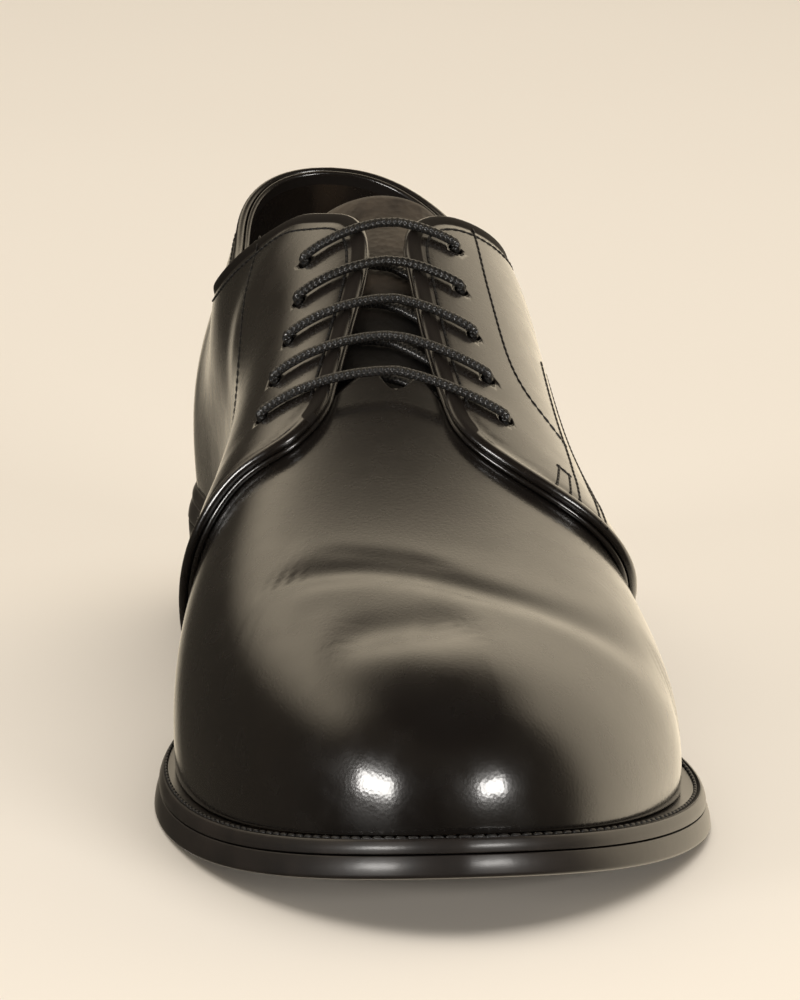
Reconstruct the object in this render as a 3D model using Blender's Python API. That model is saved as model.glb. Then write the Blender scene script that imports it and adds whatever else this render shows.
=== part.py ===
"""Left derby shoe: outsole, welt, heel, insole, upper, tongue and lace around one last.

Lengths are metres.  The last is a surface of two numbers, rib and lift.  Rib runs round the
feather line (0 at the back of the heel, 1 or -1 at the tip of the toe, plus on the lateral side)
and lift climbs from the feather line (0) to the crest (90 degrees).  Every leather piece is the
last moved outward along its normal, so all pieces share the shoe's real shape.
"""
import math

import bmesh
import bpy
import numpy as np
from mathutils import Vector

# The last
LAST_LENGTH = 0.290
BALL_WIDTH = 0.0935
INSTEP_HEIGHT = 0.106
HEEL_HEIGHT = 0.022
TOE_SPRING = 0.0095
OUTSOLE_THICKNESS = 0.0045
WELT_THICKNESS = 0.0030
GAP = 0.0003
SEAT_CLEAR = 0.0002
TOE_REACH = 0.126
HEEL_REACH = 0.033
TOE_FAN = 0.045
HEEL_FAN = 0.031
SHANK_START = 0.24
FLAT_START = 0.605
FLAT_END = 0.72

# One row per station along the last.  Widths, crest_x and bulge are shares of BALL_WIDTH,
# crest_z is a share of INSTEP_HEIGHT, full is how far the section fills its corner.
SECTION_COLUMNS = ("station", "medial", "lateral", "crest_x", "crest_z", "full", "bulge", "medial_tuck", "lateral_tuck")
LAST_SECTIONS = (
    (0.00, 0.308, 0.308, 0.000, 1.085, 0.60, 0.032, 0.000, 0.000),
    (0.10, 0.304, 0.318, 0.018, 1.100, 0.54, 0.036, 0.112, 0.036),
    (0.20, 0.278, 0.330, 0.046, 1.090, 0.40, 0.040, 0.000, 0.010),
    (0.32, 0.262, 0.348, 0.060, 1.030, 0.30, 0.034, -0.030, 0.000),
    (0.44, 0.300, 0.384, 0.036, 0.905, 0.26, 0.024, 0.000, 0.000),
    (0.56, 0.416, 0.444, 0.006, 0.750, 0.15, 0.020, 0.000, 0.000),
    (0.68, 0.508, 0.542, -0.020, 0.605, 0.12, 0.024, 0.000, 0.000),
    (0.80, 0.547, 0.607, -0.025, 0.500, 0.13, 0.022, 0.000, 0.000),
    (0.90, 0.564, 0.604, -0.025, 0.445, 0.14, 0.010, 0.000, 0.000),
    (1.00, 0.574, 0.594, -0.025, 0.420, 0.15, 0.004, 0.000, 0.000),
)

# The leather
VAMP_WALL = 0.0016
QUARTER_WALL = 0.0030
FACING_RISE = 0.0014
EDGE_RISE = 0.0011
TONGUE_DROP = 0.0013
TONGUE_WALL = 0.0016
INSOLE_RISE = 0.0030

# Front edge of the quarters, from the feather line up to the throat corner (lifts in degrees).
FRONT_COLUMNS = ("lateral_rib", "lateral_lift", "medial_rib", "medial_lift")
FRONT_EDGE = (
    (0.524, 0.0, 0.515, 0.0),
    (0.565, 18.0, 0.548, 18.0),
    (0.606, 38.0, 0.574, 38.0),
    (0.619, 54.0, 0.582, 53.0),
    (0.617, 66.0, 0.589, 64.0),
    (0.600, 78.0, 0.581, 74.0),
)

# Top edge of the quarters, from the back of the heel round the facing corner to the throat.
TOP_COLUMNS = ("rib", "lateral_lift", "medial_lift")
TOP_EDGE = (
    (0.000, 50.8, 50.8),
    (0.045, 50.1, 50.0),
    (0.130, 44.8, 44.0),
    (0.240, 37.6, 36.6),
    (0.320, 39.6, 39.4),
    (0.372, 47.6, 52.6),
    (0.405, 57.8, 66.4),
    (0.424, 70.0, 74.0),
    (0.436, 79.0, 79.6),
    (0.452, 85.4, 83.0),
    (0.480, 86.3, 83.4),
    (0.520, 84.0, 79.4),
    (0.555, 81.6, 76.2),
)


# Eyelets from the top pair down: rib and distance from the facing's edge on each side.
EYELET_COLUMNS = ("lateral_rib", "lateral_margin", "medial_rib", "medial_margin")
EYELETS = (
    (0.457, 0.0097, 0.452, 0.0128),
    (0.489, 0.0100, 0.480, 0.0145),
    (0.520, 0.0106, 0.505, 0.0150),
    (0.550, 0.0112, 0.529, 0.0157),
    (0.578, 0.0120, 0.553, 0.0163),
)
EYELET_RADIUS = 0.0017
LACE_RADIUS = 0.0010
LACE_BEND = 0.0017
LACE_CLEAR = 0.0004

# Overhang of the outsole beyond the feather line, by rib.
SOLE_COLUMNS = ("rib", "overhang")
SOLE_OVERHANG = (
    (-1.00, 0.0078),
    (-0.86, 0.0060),
    (-0.66, 0.0062),
    (-0.42, 0.0050),
    (0.00, 0.0058),
    (0.42, 0.0050),
    (0.66, 0.0078),
    (0.86, 0.0068),
    (1.00, 0.0078),
)
HEEL_BREAST = 0.072
TOP_PIECE_HEIGHT = 0.006

# Grid sizes
QUARTER_COLUMNS = 32
QUARTER_ROWS = 12
THROAT_ROWS = 3
VAMP_COLUMNS = 15
SOLE_RUNGS = 40
LACE_SIDES = 8


def ease(x):
    """Smooth step with flat ends: 6x^5 - 15x^4 + 10x^3 on 0..1."""
    x = np.clip(x, 0.0, 1.0)
    return x * x * x * (x * (6 * x - 15) + 10)


def smooth_curve(knots, values, at):
    """Natural cubic spline through (knots, values), read at the given places."""
    knots = np.asarray(knots, float)
    values = np.asarray(values, float)
    count = len(knots)
    width = np.diff(knots)
    slope = np.diff(values) / width
    system = np.eye(count)
    right = np.zeros(count)
    for i in range(1, count - 1):
        system[i, i - 1] = width[i - 1]
        system[i, i] = 2 * (width[i - 1] + width[i])
        system[i, i + 1] = width[i]
        right[i] = 6 * (slope[i] - slope[i - 1])
    bend = np.linalg.solve(system, right)
    at = np.clip(np.asarray(at, float), knots[0], knots[-1])
    cell = np.clip(np.searchsorted(knots, at) - 1, 0, count - 2)
    h = width[cell]
    a = (knots[cell + 1] - at) / h
    b = (at - knots[cell]) / h
    curve = (a ** 3 - a) * bend[cell] + (b ** 3 - b) * bend[cell + 1]
    return a * values[cell] + b * values[cell + 1] + curve * h * h / 6


def section(name, station):
    """One column of LAST_SECTIONS read at any station."""
    column = SECTION_COLUMNS.index(name)
    stations = [row[0] for row in LAST_SECTIONS]
    return smooth_curve(stations, [row[column] for row in LAST_SECTIONS], station)


def tread_height(along):
    """Height of the outsole's lower face: heel seat, shank curve, flat tread, toe spring."""
    share = np.asarray(along, float) / LAST_LENGTH
    shank = ease((share - SHANK_START) / (FLAT_START - SHANK_START))
    spring = np.maximum(share - FLAT_END, 0.0) / (1 - FLAT_END)
    return HEEL_HEIGHT * (1 - shank) + TOE_SPRING * spring ** 2


def feather_height(along):
    """Height of the upper's bottom edge, one gap above the welt."""
    return tread_height(along) + OUTSOLE_THICKNESS + GAP + WELT_THICKNESS + GAP


def round_end(distance, reach, power):
    """Share of full width near a rounded end: (1 - (1 - d/reach)^power)^(1/power)."""
    inside = np.clip(distance / reach, 0.0, 1.0)
    return (1 - (1 - inside) ** power) ** (1 / power)


def crest_station(along):
    """Where the rib that starts at this place meets the crest."""
    crest = LAST_LENGTH - np.sqrt((LAST_LENGTH - along) ** 2 + TOE_FAN ** 2)
    pulled = np.sqrt(np.maximum(crest, -1.0) ** 2 + HEEL_FAN ** 2)
    return crest + (pulled - crest) * (1 - ease(along / (0.5 * LAST_LENGTH)))


def last_surface(rib, lift):
    """Point of the last: plan = cos(lift)(1 + full sin^2(lift)) + bulge, rise = sin(lift)."""
    rib, lift = np.broadcast_arrays(np.asarray(rib, float), np.asarray(lift, float))
    rib = (rib + 1) % 2 - 1
    side = np.where(rib >= 0, 1.0, -1.0)
    along = LAST_LENGTH * (1 - np.cos(np.pi * np.abs(rib))) / 2
    station = along / LAST_LENGTH
    ends = round_end(along, HEEL_REACH, 2.0) * round_end(LAST_LENGTH - along, TOE_REACH, 2.03)
    lateral = section("lateral", station) * BALL_WIDTH * ends
    medial = section("medial", station) * BALL_WIDTH * ends
    foot_x = np.where(side > 0, lateral, -medial)
    foot_z = feather_height(along)
    crest_y = crest_station(along)
    crest_share = crest_y / LAST_LENGTH
    crest_x = section("crest_x", crest_share) * BALL_WIDTH
    crest_z = section("crest_z", crest_share) * INSTEP_HEIGHT
    ahead = section("crest_z", crest_share + 0.01)
    behind = section("crest_z", crest_share - 0.01)
    crest_slope = (ahead - behind) * INSTEP_HEIGHT / (0.02 * LAST_LENGTH)
    own = np.hypot(foot_x - crest_x, along - crest_y)
    other = np.hypot(np.where(side > 0, -medial, lateral) - crest_x, along - crest_y)
    full = (own + other) / 2 * (1 + section("full", station)) / own - 1
    tuck = np.where(side > 0, section("lateral_tuck", station), section("medial_tuck", station))
    bulge = section("bulge", station) * BALL_WIDTH * np.sin(2 * lift) * np.cos(lift)
    bulge = bulge - tuck * BALL_WIDTH * np.sin(2 * lift) ** 3
    plan = np.cos(lift) * (1 + full * np.sin(lift) ** 2) + bulge / own
    tilt = crest_slope * (along - crest_y) * plan * (1 - np.clip(plan, 0, 1)) ** 2
    x = crest_x + (foot_x - crest_x) * plan
    y = crest_y + (along - crest_y) * plan
    z = foot_z + (crest_z - foot_z) * np.sin(lift) + tilt
    return np.stack([x, y, z], -1)


def last_normal(rib, lift):
    """Outward unit normal; at the crest the two sides share their mean."""
    rib, lift = np.broadcast_arrays(np.asarray(rib, float), np.asarray(lift, float))
    step = 2e-4
    low = np.minimum(lift, math.pi / 2 - 0.03)

    def one_side(place):
        along = last_surface(place + step, low) - last_surface(place - step, low)
        up = last_surface(place, low + step) - last_surface(place, low - step)
        normal = np.cross(along, up)
        return normal / np.linalg.norm(normal, axis=-1, keepdims=True)

    share = ease((lift - low) / 0.03)[..., None]
    normal = one_side(rib) + one_side(-rib) * share
    return normal / np.linalg.norm(normal, axis=-1, keepdims=True)


def shell(rib, lift, offset):
    """The last moved outward by offset, kept above the feather plane."""
    offset = np.asarray(offset, float)
    point = last_surface(rib, lift) + last_normal(rib, lift) * offset[..., None]
    point[..., 2] = np.maximum(point[..., 2], feather_height(point[..., 1]) + SEAT_CLEAR)
    return point


def arch(angle):
    """Lift and side for an angle that runs 0 lateral, 90 crest, 180 medial (radians)."""
    side = np.where(angle <= math.pi / 2, 1.0, -1.0)
    return np.minimum(angle, math.pi - angle), side


def table_curve(rib, lift, count):
    """A row of (rib, lift) knots as a smooth curve on the last, even in length."""
    knots = np.concatenate([[0.0], np.cumsum(step_lengths(rib, lift))])
    fine = np.linspace(0, knots[-1], 500)
    fine_rib = smooth_curve(knots, rib, fine)
    fine_lift = smooth_curve(knots, lift, fine)
    length = np.concatenate([[0.0], np.cumsum(step_lengths(fine_rib, fine_lift))])
    even = np.linspace(0, length[-1], count)
    return np.stack([np.interp(even, length, fine_rib), np.interp(even, length, fine_lift)], -1)


def step_lengths(rib, lift):
    """Lengths of the steps between neighbouring points of a curve on the last."""
    return np.linalg.norm(np.diff(last_surface(rib, lift), axis=0), axis=-1)


def front_edge(side, count):
    """Front edge of one quarter as (rib, lift) rows, from the feather line up."""
    names = ("lateral_rib", "lateral_lift") if side > 0 else ("medial_rib", "medial_lift")
    rib, lift = (np.array([row[FRONT_COLUMNS.index(n)] for row in FRONT_EDGE]) for n in names)
    return table_curve(rib, np.radians(lift), count)


def top_edge(side, count):
    """Top edge of one quarter as (rib, lift) rows, from the heel to the throat corner."""
    name = "lateral_lift" if side > 0 else "medial_lift"
    corner = front_edge(side, 2)[-1]
    rib = np.array([row[0] for row in TOP_EDGE] + [corner[0]])
    lift = [math.radians(row[TOP_COLUMNS.index(name)]) for row in TOP_EDGE] + [corner[1]]
    return table_curve(rib, np.array(lift), count)


def facing_lift(side, rib):
    """Lift of the facing's inner edge at a rib between the facing corner and the throat."""
    edge = top_edge(side, 300)
    rows = edge[edge[:, 0] > 0.44]
    return np.interp(rib, rows[:, 0], rows[:, 1])


def facing_mask(rib, lift):
    """1 under the facings, where the quarter stands clear of the tongue, 0 elsewhere."""
    rib, lift = np.broadcast_arrays(np.asarray(rib, float), np.asarray(lift, float))
    mask = np.zeros(rib.shape)
    for side in (1, -1):
        edge = front_edge(side, 60)
        front = np.interp(lift, edge[:, 1], edge[:, 0])
        here = ease((np.abs(rib) - 0.375) / 0.045) * ease((front - np.abs(rib)) / 0.026)
        mask = np.where(rib * side >= 0, here, mask)
    return mask * ease((lift - math.radians(24)) / math.radians(20))


def coons(bottom, top, back, front):
    """Grid between four edge curves given as (rib, lift) rows: the Coons patch."""
    p = np.linspace(0, 1, len(bottom))[:, None, None]
    q = np.linspace(0, 1, len(back))[None, :, None]
    ruled = (1 - q) * bottom[:, None] + q * top[:, None] + (1 - p) * back[None] + p * front[None]
    corners = (1 - p) * ((1 - q) * bottom[0] + q * top[0])
    corners = corners + p * ((1 - q) * bottom[-1] + q * top[-1])
    return ruled - corners


def straight(start, end, count):
    """Evenly spaced (rib, lift) rows from start to end."""
    share = np.linspace(0, 1, count)[:, None]
    return np.array(start) * (1 - share) + np.array(end) * share


def quarter_grid(side):
    """(rib, lift) grid of one quarter, columns from the heel seam to the front edge."""
    front = front_edge(side, QUARTER_ROWS + 1)
    top = top_edge(side, QUARTER_COLUMNS + 1)
    bottom = table_curve(np.linspace(0, front[0, 0], 20), np.zeros(20), QUARTER_COLUMNS + 1)
    back = straight((0, 0), top[0], QUARTER_ROWS + 1)
    return coons(bottom, top, back, front)


def throat_rows(side):
    """Rear edge of the vamp in the throat, from the facing's corner to the crest."""
    corner = front_edge(side, 2)[-1]
    middle = (front_edge(1, 2)[-1, 0] + front_edge(-1, 2)[-1, 0]) / 2 - 0.022
    crest = np.array([middle, math.pi / 2])
    share = np.linspace(0, 1, THROAT_ROWS + 1)[1:, None]
    bow = np.sin(share[:, 0] * math.pi / 2)[:, None]
    return np.hstack([corner[0] + (crest[0] - corner[0]) * bow, corner[1] + (crest[1] - corner[1]) * share])


def vamp_grid(side):
    """(rib, lift) grid of one half of the vamp, columns from the front edge to the toe tip."""
    back = np.vstack([front_edge(side, QUARTER_ROWS + 1), throat_rows(side)])
    rows = len(back)
    tip_lift = np.linspace(0, math.pi / 2, rows)
    tip = np.stack([np.ones(rows), tip_lift], -1)
    spread = np.linspace(0, 1, 20)
    flat = np.zeros(20)
    bottom = table_curve(back[0, 0] + (1 - back[0, 0]) * spread, flat, VAMP_COLUMNS + 1)
    crest = table_curve(back[-1, 0] + (1 - back[-1, 0]) * spread, flat + math.pi / 2, VAMP_COLUMNS + 1)
    return coons(bottom, crest, back, tip)


def grid_faces(columns, rows, start=0):
    """Quads of a columns x rows point grid whose first point has index start."""
    faces = []
    for i in range(columns - 1):
        for j in range(rows - 1):
            a = start + i * rows + j
            faces.append((a, a + rows, a + rows + 1, a + 1))
    return faces


class Shape:
    """Points and faces gathered patch by patch, then welded into one closed solid."""

    def __init__(self):
        self.points = []
        self.faces = []

    def add_grid(self, grid):
        """Add a columns x rows grid of points with its quads."""
        columns, rows = grid.shape[:2]
        self.faces += grid_faces(columns, rows, len(self.points))
        self.points += [tuple(p) for p in grid.reshape(-1, 3)]

    def add_strip(self, one, two):
        """Add the band between two rows of points of equal length."""
        self.add_grid(np.stack([one, two], 0))

    def add_rim(self, one, two, middle):
        """Add a band whose last edge also carries a middle point."""
        self.add_strip(one[:-1], two[:-1])
        start = len(self.points)
        self.points += [tuple(p) for p in (one[-2], one[-1], middle, two[-1], two[-2])]
        self.faces.append(tuple(range(start, start + 5)))


def place(points):
    """Last coordinates (x, along, z) to the shoe's frame, centred over its footprint."""
    points = np.array(points, float)
    low, high = sole_bounds()
    middle = (low + high) / 2
    return np.stack([points[:, 0] - middle[0], middle[1] - points[:, 1], points[:, 2]], -1)


def material(name, colour, roughness, coat=0.0):
    """A plain Principled material."""
    made = bpy.data.materials.new(name)
    made.use_nodes = True
    shader = made.node_tree.nodes["Principled BSDF"]
    shader.inputs["Base Color"].default_value = (*colour, 1.0)
    shader.inputs["Roughness"].default_value = roughness
    shader.inputs["Coat Weight"].default_value = coat
    made.diffuse_color = (*colour, 1.0)
    return made


def add_solid(name, points, faces, look):
    """Make one closed object from points and faces, welded and facing outward."""
    mesh = bpy.data.meshes.new(name)
    mesh.from_pydata([tuple(p) for p in place(points)], [], faces)
    body = bmesh.new()
    body.from_mesh(mesh)
    bmesh.ops.remove_doubles(body, verts=body.verts, dist=2e-6)
    bmesh.ops.dissolve_degenerate(body, edges=body.edges, dist=1e-6)
    bmesh.ops.triangulate(body, faces=body.faces)
    bmesh.ops.recalc_face_normals(body, faces=body.faces)
    if body.calc_volume(signed=True) < 0:
        bmesh.ops.reverse_faces(body, faces=body.faces)
    body.to_mesh(mesh)
    body.free()
    mesh.materials.append(look)
    made = bpy.data.objects.new(name, mesh)
    bpy.context.scene.collection.objects.link(made)
    return made


def overhang(rib):
    """Overhang of the outsole at a rib."""
    return smooth_curve([r[0] for r in SOLE_OVERHANG], [r[1] for r in SOLE_OVERHANG], rib)


def outline(rib, grow):
    """Plan of the feather line moved outward by grow, as (x, along) points."""
    step = 1e-3
    base = last_surface(rib, np.zeros(len(rib)))[:, :2]
    way = last_surface(rib + step, np.zeros(len(rib))) - last_surface(rib - step, np.zeros(len(rib)))
    way = way[:, :2] / np.linalg.norm(way[:, :2], axis=1, keepdims=True)
    return base + np.stack([way[:, 1], -way[:, 0]], -1) * np.asarray(grow)[..., None]


def rung_ribs(first=0.0, last=1.0):
    """Ribs of the ladder that fills a sole shape, closer together at its ends."""
    return first + (last - first) * np.linspace(0, 1, SOLE_RUNGS + 1)


def sole_bounds():
    """Lowest and highest plan corner of the outsole."""
    rib = np.linspace(-1, 1, 401)
    edge = outline(rib, overhang(rib))
    return edge.min(axis=0), edge.max(axis=0)


def at_height(plan, height):
    """Plan points lifted to a height function of their place along the last."""
    return np.column_stack([plan, height(plan[:, 1])])


def rung(sides, end):
    """One rung of the ladder: its two ends and its middle."""
    right, left = sides[0][end], sides[1][end]
    return np.stack([left, left * 0.5 + right * 0.5, right])


def ladder_solid(ribs, levels):
    """Closed sole-like solid: levels of (overhang function, height function), bottom to top."""
    shape = Shape()
    sides = []
    for grow, height in levels:
        right = at_height(outline(ribs, grow(ribs)), height)
        left = at_height(outline(-ribs, grow(-ribs)), height)
        sides.append((right, left))
    for lower, upper in zip(sides, sides[1:]):
        shape.add_strip(lower[0], upper[0])
        shape.add_strip(upper[1], lower[1])
        for end in (0, -1):
            shape.add_strip(rung(lower, end), rung(upper, end))
    for right, left in (sides[0], sides[-1]):
        shape.add_grid(np.stack([left, left * 0.5 + right * 0.5, right], 0))
    return shape


def make_outsole(look):
    """Outsole: full outline with arch, toe spring and a softened lower edge."""
    low = lambda s: tread_height(s)
    mid = lambda s: tread_height(s) + 0.0010
    top = lambda s: tread_height(s) + OUTSOLE_THICKNESS
    levels = [
        (lambda r: overhang(r) - 0.0010, low),
        (lambda r: overhang(r), mid),
        (lambda r: overhang(r), lambda s: top(s) - 0.0006),
        (lambda r: overhang(r) - 0.0006, top),
    ]
    shape = ladder_solid(rung_ribs(), levels)
    return add_solid("outsole", shape.points, shape.faces, look)


def make_welt(look):
    """Welt: a ring on the outsole's edge, from inside the feather line out to the overhang."""
    ribs = np.linspace(-1, 1, 2 * SOLE_RUNGS + 1)
    base = lambda s: tread_height(s) + OUTSOLE_THICKNESS + GAP
    top = lambda s: base(s) + WELT_THICKNESS
    rows = [
        at_height(outline(ribs, np.full(len(ribs), -0.0070)), base),
        at_height(outline(ribs, overhang(ribs) - 0.0007), base),
        at_height(outline(ribs, overhang(ribs)), lambda s: base(s) + 0.0008),
        at_height(outline(ribs, overhang(ribs)), lambda s: top(s) - 0.0009),
        at_height(outline(ribs, overhang(ribs) - 0.0009), top),
        at_height(outline(ribs, np.full(len(ribs), -0.0070)), top),
    ]
    shape = Shape()
    shape.add_grid(np.stack(rows + rows[:1], 0))
    return add_solid("welt", shape.points, shape.faces, look)


def make_insole(look):
    """Insole: a plug inside the welt ring and a plate that fills the floor of the upper."""
    floor = lambda s: tread_height(s) + OUTSOLE_THICKNESS + 2 * GAP
    seat = lambda s: feather_height(s) + 0.0001
    levels = [
        (lambda r: np.full(len(r), -0.0074), floor),
        (lambda r: np.full(len(r), -0.0074), seat),
        (lambda r: np.full(len(r), -0.0009), seat),
        (lambda r: np.full(len(r), -0.0011), lambda s: seat(s) + INSOLE_RISE - 0.0006),
        (lambda r: np.full(len(r), -0.0020), lambda s: seat(s) + INSOLE_RISE),
    ]
    shape = ladder_solid(rung_ribs(0.02, 0.985), levels)
    return add_solid("insole", shape.points, shape.faces, look)


def breast_rib():
    """Rib at which the outsole's edge reaches the heel breast."""
    ribs = np.linspace(0, 0.5, 800)
    reached = [np.interp(HEEL_BREAST, outline(r, overhang(r))[:, 1], ribs) for r in (ribs, -ribs)]
    return float(max(reached))


def make_heel(name, bottom, top, flare, look):
    """One block of the heel between two heights, with a straight breast."""
    ribs = rung_ribs(0.0, breast_rib())[::3]
    inset = lambda share: (lambda r: overhang(r) - 0.0004 - flare * share)
    levels = [
        (inset(1.0), lambda s: np.full(len(s), bottom)),
        (inset(0.0), lambda s: np.full(len(s), top)),
    ]
    shape = ladder_solid(ribs, levels)
    points = np.array(shape.points)
    points[:, 1] = np.minimum(points[:, 1], HEEL_BREAST)
    return add_solid(name, points, shape.faces, look)


def quarter_offsets(rib, lift, side):
    """Inner and outer offset of the quarter over the last; it steps up onto the vamp in front."""
    edge = front_edge(side, 60)
    front = np.interp(lift, edge[:, 1], edge[:, 0])
    rise = FACING_RISE * facing_mask(rib * side, lift)
    return rise, rise + QUARTER_WALL + EDGE_RISE * ease(1 - (front - rib) / 0.03)


def make_upper(look):
    """Hollow upper: vamp and quarters as one wall with the quarters a step up from the vamp."""
    shape = Shape()
    for side in (1, -1):
        rib, lift = np.moveaxis(quarter_grid(side), -1, 0)
        low, high = quarter_offsets(rib, lift, side)
        inner = shell(rib * side, lift, low)
        outer = shell(rib * side, lift, high)
        shape.add_grid(inner)
        shape.add_grid(outer)
        rib, lift = np.moveaxis(vamp_grid(side), -1, 0)
        vamp_in = shell(rib * side, lift, np.zeros(rib.shape))
        vamp_out = shell(rib * side, lift, np.full(rib.shape, VAMP_WALL))
        vamp_in[0, : QUARTER_ROWS + 1] = inner[-1]
        shape.add_grid(vamp_in)
        shape.add_grid(vamp_out)
        shape.add_strip(vamp_in[:, 0], vamp_out[:, 0])
        shape.add_strip(vamp_out[0, : QUARTER_ROWS + 1], outer[-1])
        shape.add_strip(vamp_in[0, QUARTER_ROWS:], vamp_out[0, QUARTER_ROWS:])
        shape.add_rim(inner[:, 0], outer[:, 0], vamp_out[0, 0])
        shape.add_rim(inner[:, -1], outer[:, -1], vamp_out[0, QUARTER_ROWS])
    return add_solid("upper", shape.points, shape.faces, look)


def eyelet(side, row):
    """Rib and lift of an eyelet: its margin down from the facing's edge, along the rib."""
    rib, margin = EYELETS[row][:2] if side > 0 else EYELETS[row][2:]
    lifts = np.linspace(facing_lift(side, rib), math.radians(20), 200)
    length = np.concatenate([[0.0], np.cumsum(step_lengths(np.full(200, rib * side), lifts))])
    return rib, float(np.interp(margin, length, lifts))


def make_punch(look):
    """Ten pins that cut the eyelet holes; a helper, not a piece of the shoe."""
    points = []
    faces = []
    for side in (1, -1):
        for row in range(len(EYELETS)):
            rib, lift = eyelet(side, row)
            base = last_surface(rib * side, lift)
            normal = Vector(last_normal(rib * side, lift))
            across = normal.orthogonal().normalized()
            turn = normal.cross(across)
            start = len(points)
            for reach in (-0.0008, 0.0075):
                for k in range(10):
                    angle = 2 * math.pi * (k + 0.5) / 10
                    arm = across * math.cos(angle) + turn * math.sin(angle)
                    points.append(tuple(Vector(base) + normal * reach + arm * EYELET_RADIUS))
            faces.append(tuple(range(start, start + 10)))
            faces.append(tuple(range(start + 10, start + 20)))
            for k in range(10):
                n = (k + 1) % 10
                faces.append((start + k, start + n, start + 10 + n, start + 10 + k))
    pins = add_solid("eyelet_pins", points, faces, look)
    pins.hide_render = True
    pins.display_type = "WIRE"
    return pins


def make_tongue(look):
    """Tongue: a thin curved strip under the facings, from beneath the vamp to above the laces."""
    columns = 18
    rows = 13
    share = np.linspace(0, 1, columns)[:, None]
    across = np.linspace(-1, 1, rows)[None, :]
    top = 0.407 - 0.012 * np.maximum(across, 0.0) + 0.006 * np.maximum(-across, 0.0) ** 2
    rib = top + (0.612 - top) * share
    half = np.radians(np.interp(rib, [0.398, 0.415, 0.44, 0.54, 0.612], [26.0, 31.0, 37.0, 29.0, 21.0]))
    lift, side = arch(math.pi / 2 + half * across)
    rib = np.broadcast_to(rib, lift.shape)
    collar = np.interp(lift, np.radians([r[1] for r in TOP_EDGE[5:9]]), [r[0] for r in TOP_EDGE[5:9]])
    curl = 0.0016 * ease((collar - 0.006 - rib) / 0.03) - 0.0006 * ease((rib - 0.545) / 0.03)
    outer = shell(rib * side, lift, -TONGUE_DROP + curl)
    inner = shell(rib * side, lift, -TONGUE_DROP - TONGUE_WALL + curl)
    shape = Shape()
    shape.add_grid(outer)
    shape.add_grid(inner)
    for edge in (np.s_[0, :], np.s_[-1, :], np.s_[:, 0], np.s_[:, -1]):
        shape.add_strip(outer[edge], inner[edge])
    return add_solid("tongue", shape.points, shape.faces, look)


def surface_path(start, end, offset, count):
    """Points from one (rib, angle) place to another, at an offset from the last."""
    share = np.linspace(0, 1, count)
    rib = start[0] + (end[0] - start[0]) * share
    angle = start[1] + (end[1] - start[1]) * share
    lift, side = arch(angle)
    return shell(rib * side, lift, np.full(count, offset))


def rounded(corners, radius):
    """Polyline with every sharp corner replaced by a short three-point bend."""
    corners = [np.array(c) for c in corners]
    path = [corners[0]]
    for before, here, after in zip(corners, corners[1:], corners[2:]):
        back = before - here
        on = after - here
        turn = back @ on / np.linalg.norm(back) / np.linalg.norm(on)
        if turn < -0.9:
            path.append(here)
            continue
        reach = min(radius, np.linalg.norm(back) * 0.48, np.linalg.norm(on) * 0.48)
        first = here + back / np.linalg.norm(back) * reach
        last = here + on / np.linalg.norm(on) * reach
        path += [first, here * 0.5858 + (first + last) * 0.2071, last]
    return np.array(path + [corners[-1]])


def lace_path():
    """Centre line of the lace: bars over the facings, slanting runs beneath them."""
    over = QUARTER_WALL + FACING_RISE + LACE_CLEAR + LACE_RADIUS
    under = FACING_RISE - LACE_CLEAR - LACE_RADIUS
    holes = []
    for row in range(len(EYELETS)):
        lateral = eyelet(1, row)
        rib, lift = eyelet(-1, row)
        holes.append((lateral, (rib, math.pi - lift)))
    tail = math.radians(7.0)
    top = holes[0][0]
    corners = list(surface_path((top[0] - 0.004, top[1] - tail * 1.2), top, under, 3))
    for row, (right, left) in enumerate(holes):
        corners += list(surface_path(right, left, over, 9 + row))
        if row < 4:
            corners += list(surface_path(left, holes[row + 1][0], under, 8 + row))
    turn = (holes[4][1][0] - 0.010, holes[4][1][1] + tail)
    corners += list(surface_path(holes[4][1], turn, under, 3))
    corners += list(surface_path(turn, (holes[0][1][0], holes[0][1][1] + tail), under, 12))[1:]
    return rounded(corners, LACE_BEND)


def tube(path, radius, sides):
    """Closed tube along a path; the section is carried along without twisting."""
    count = len(path)
    ways = np.gradient(path, axis=0)
    ways /= np.linalg.norm(ways, axis=1, keepdims=True)
    across = Vector(ways[0]).orthogonal().normalized()
    points = []
    for i in range(count):
        way = Vector(ways[i])
        across = (across - way * across.dot(way)).normalized()
        turn = way.cross(across)
        for k in range(sides):
            angle = 2 * math.pi * k / sides
            arm = across * math.cos(angle) + turn * math.sin(angle)
            points.append(tuple(Vector(path[i]) + arm * radius))
    faces = [tuple(range(sides))[::-1], tuple(range((count - 1) * sides, count * sides))]
    for i in range(count - 1):
        for k in range(sides):
            n = (k + 1) % sides
            a = i * sides
            faces.append((a + k, a + n, a + sides + n, a + sides + k))
    return points, faces


def make_lace(look):
    """Lace: one cord of five bars and four slanting runs, ends hidden at the top eyelets."""
    points, faces = tube(lace_path(), LACE_RADIUS, LACE_SIDES)
    return add_solid("lace", points, faces, look)


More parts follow.
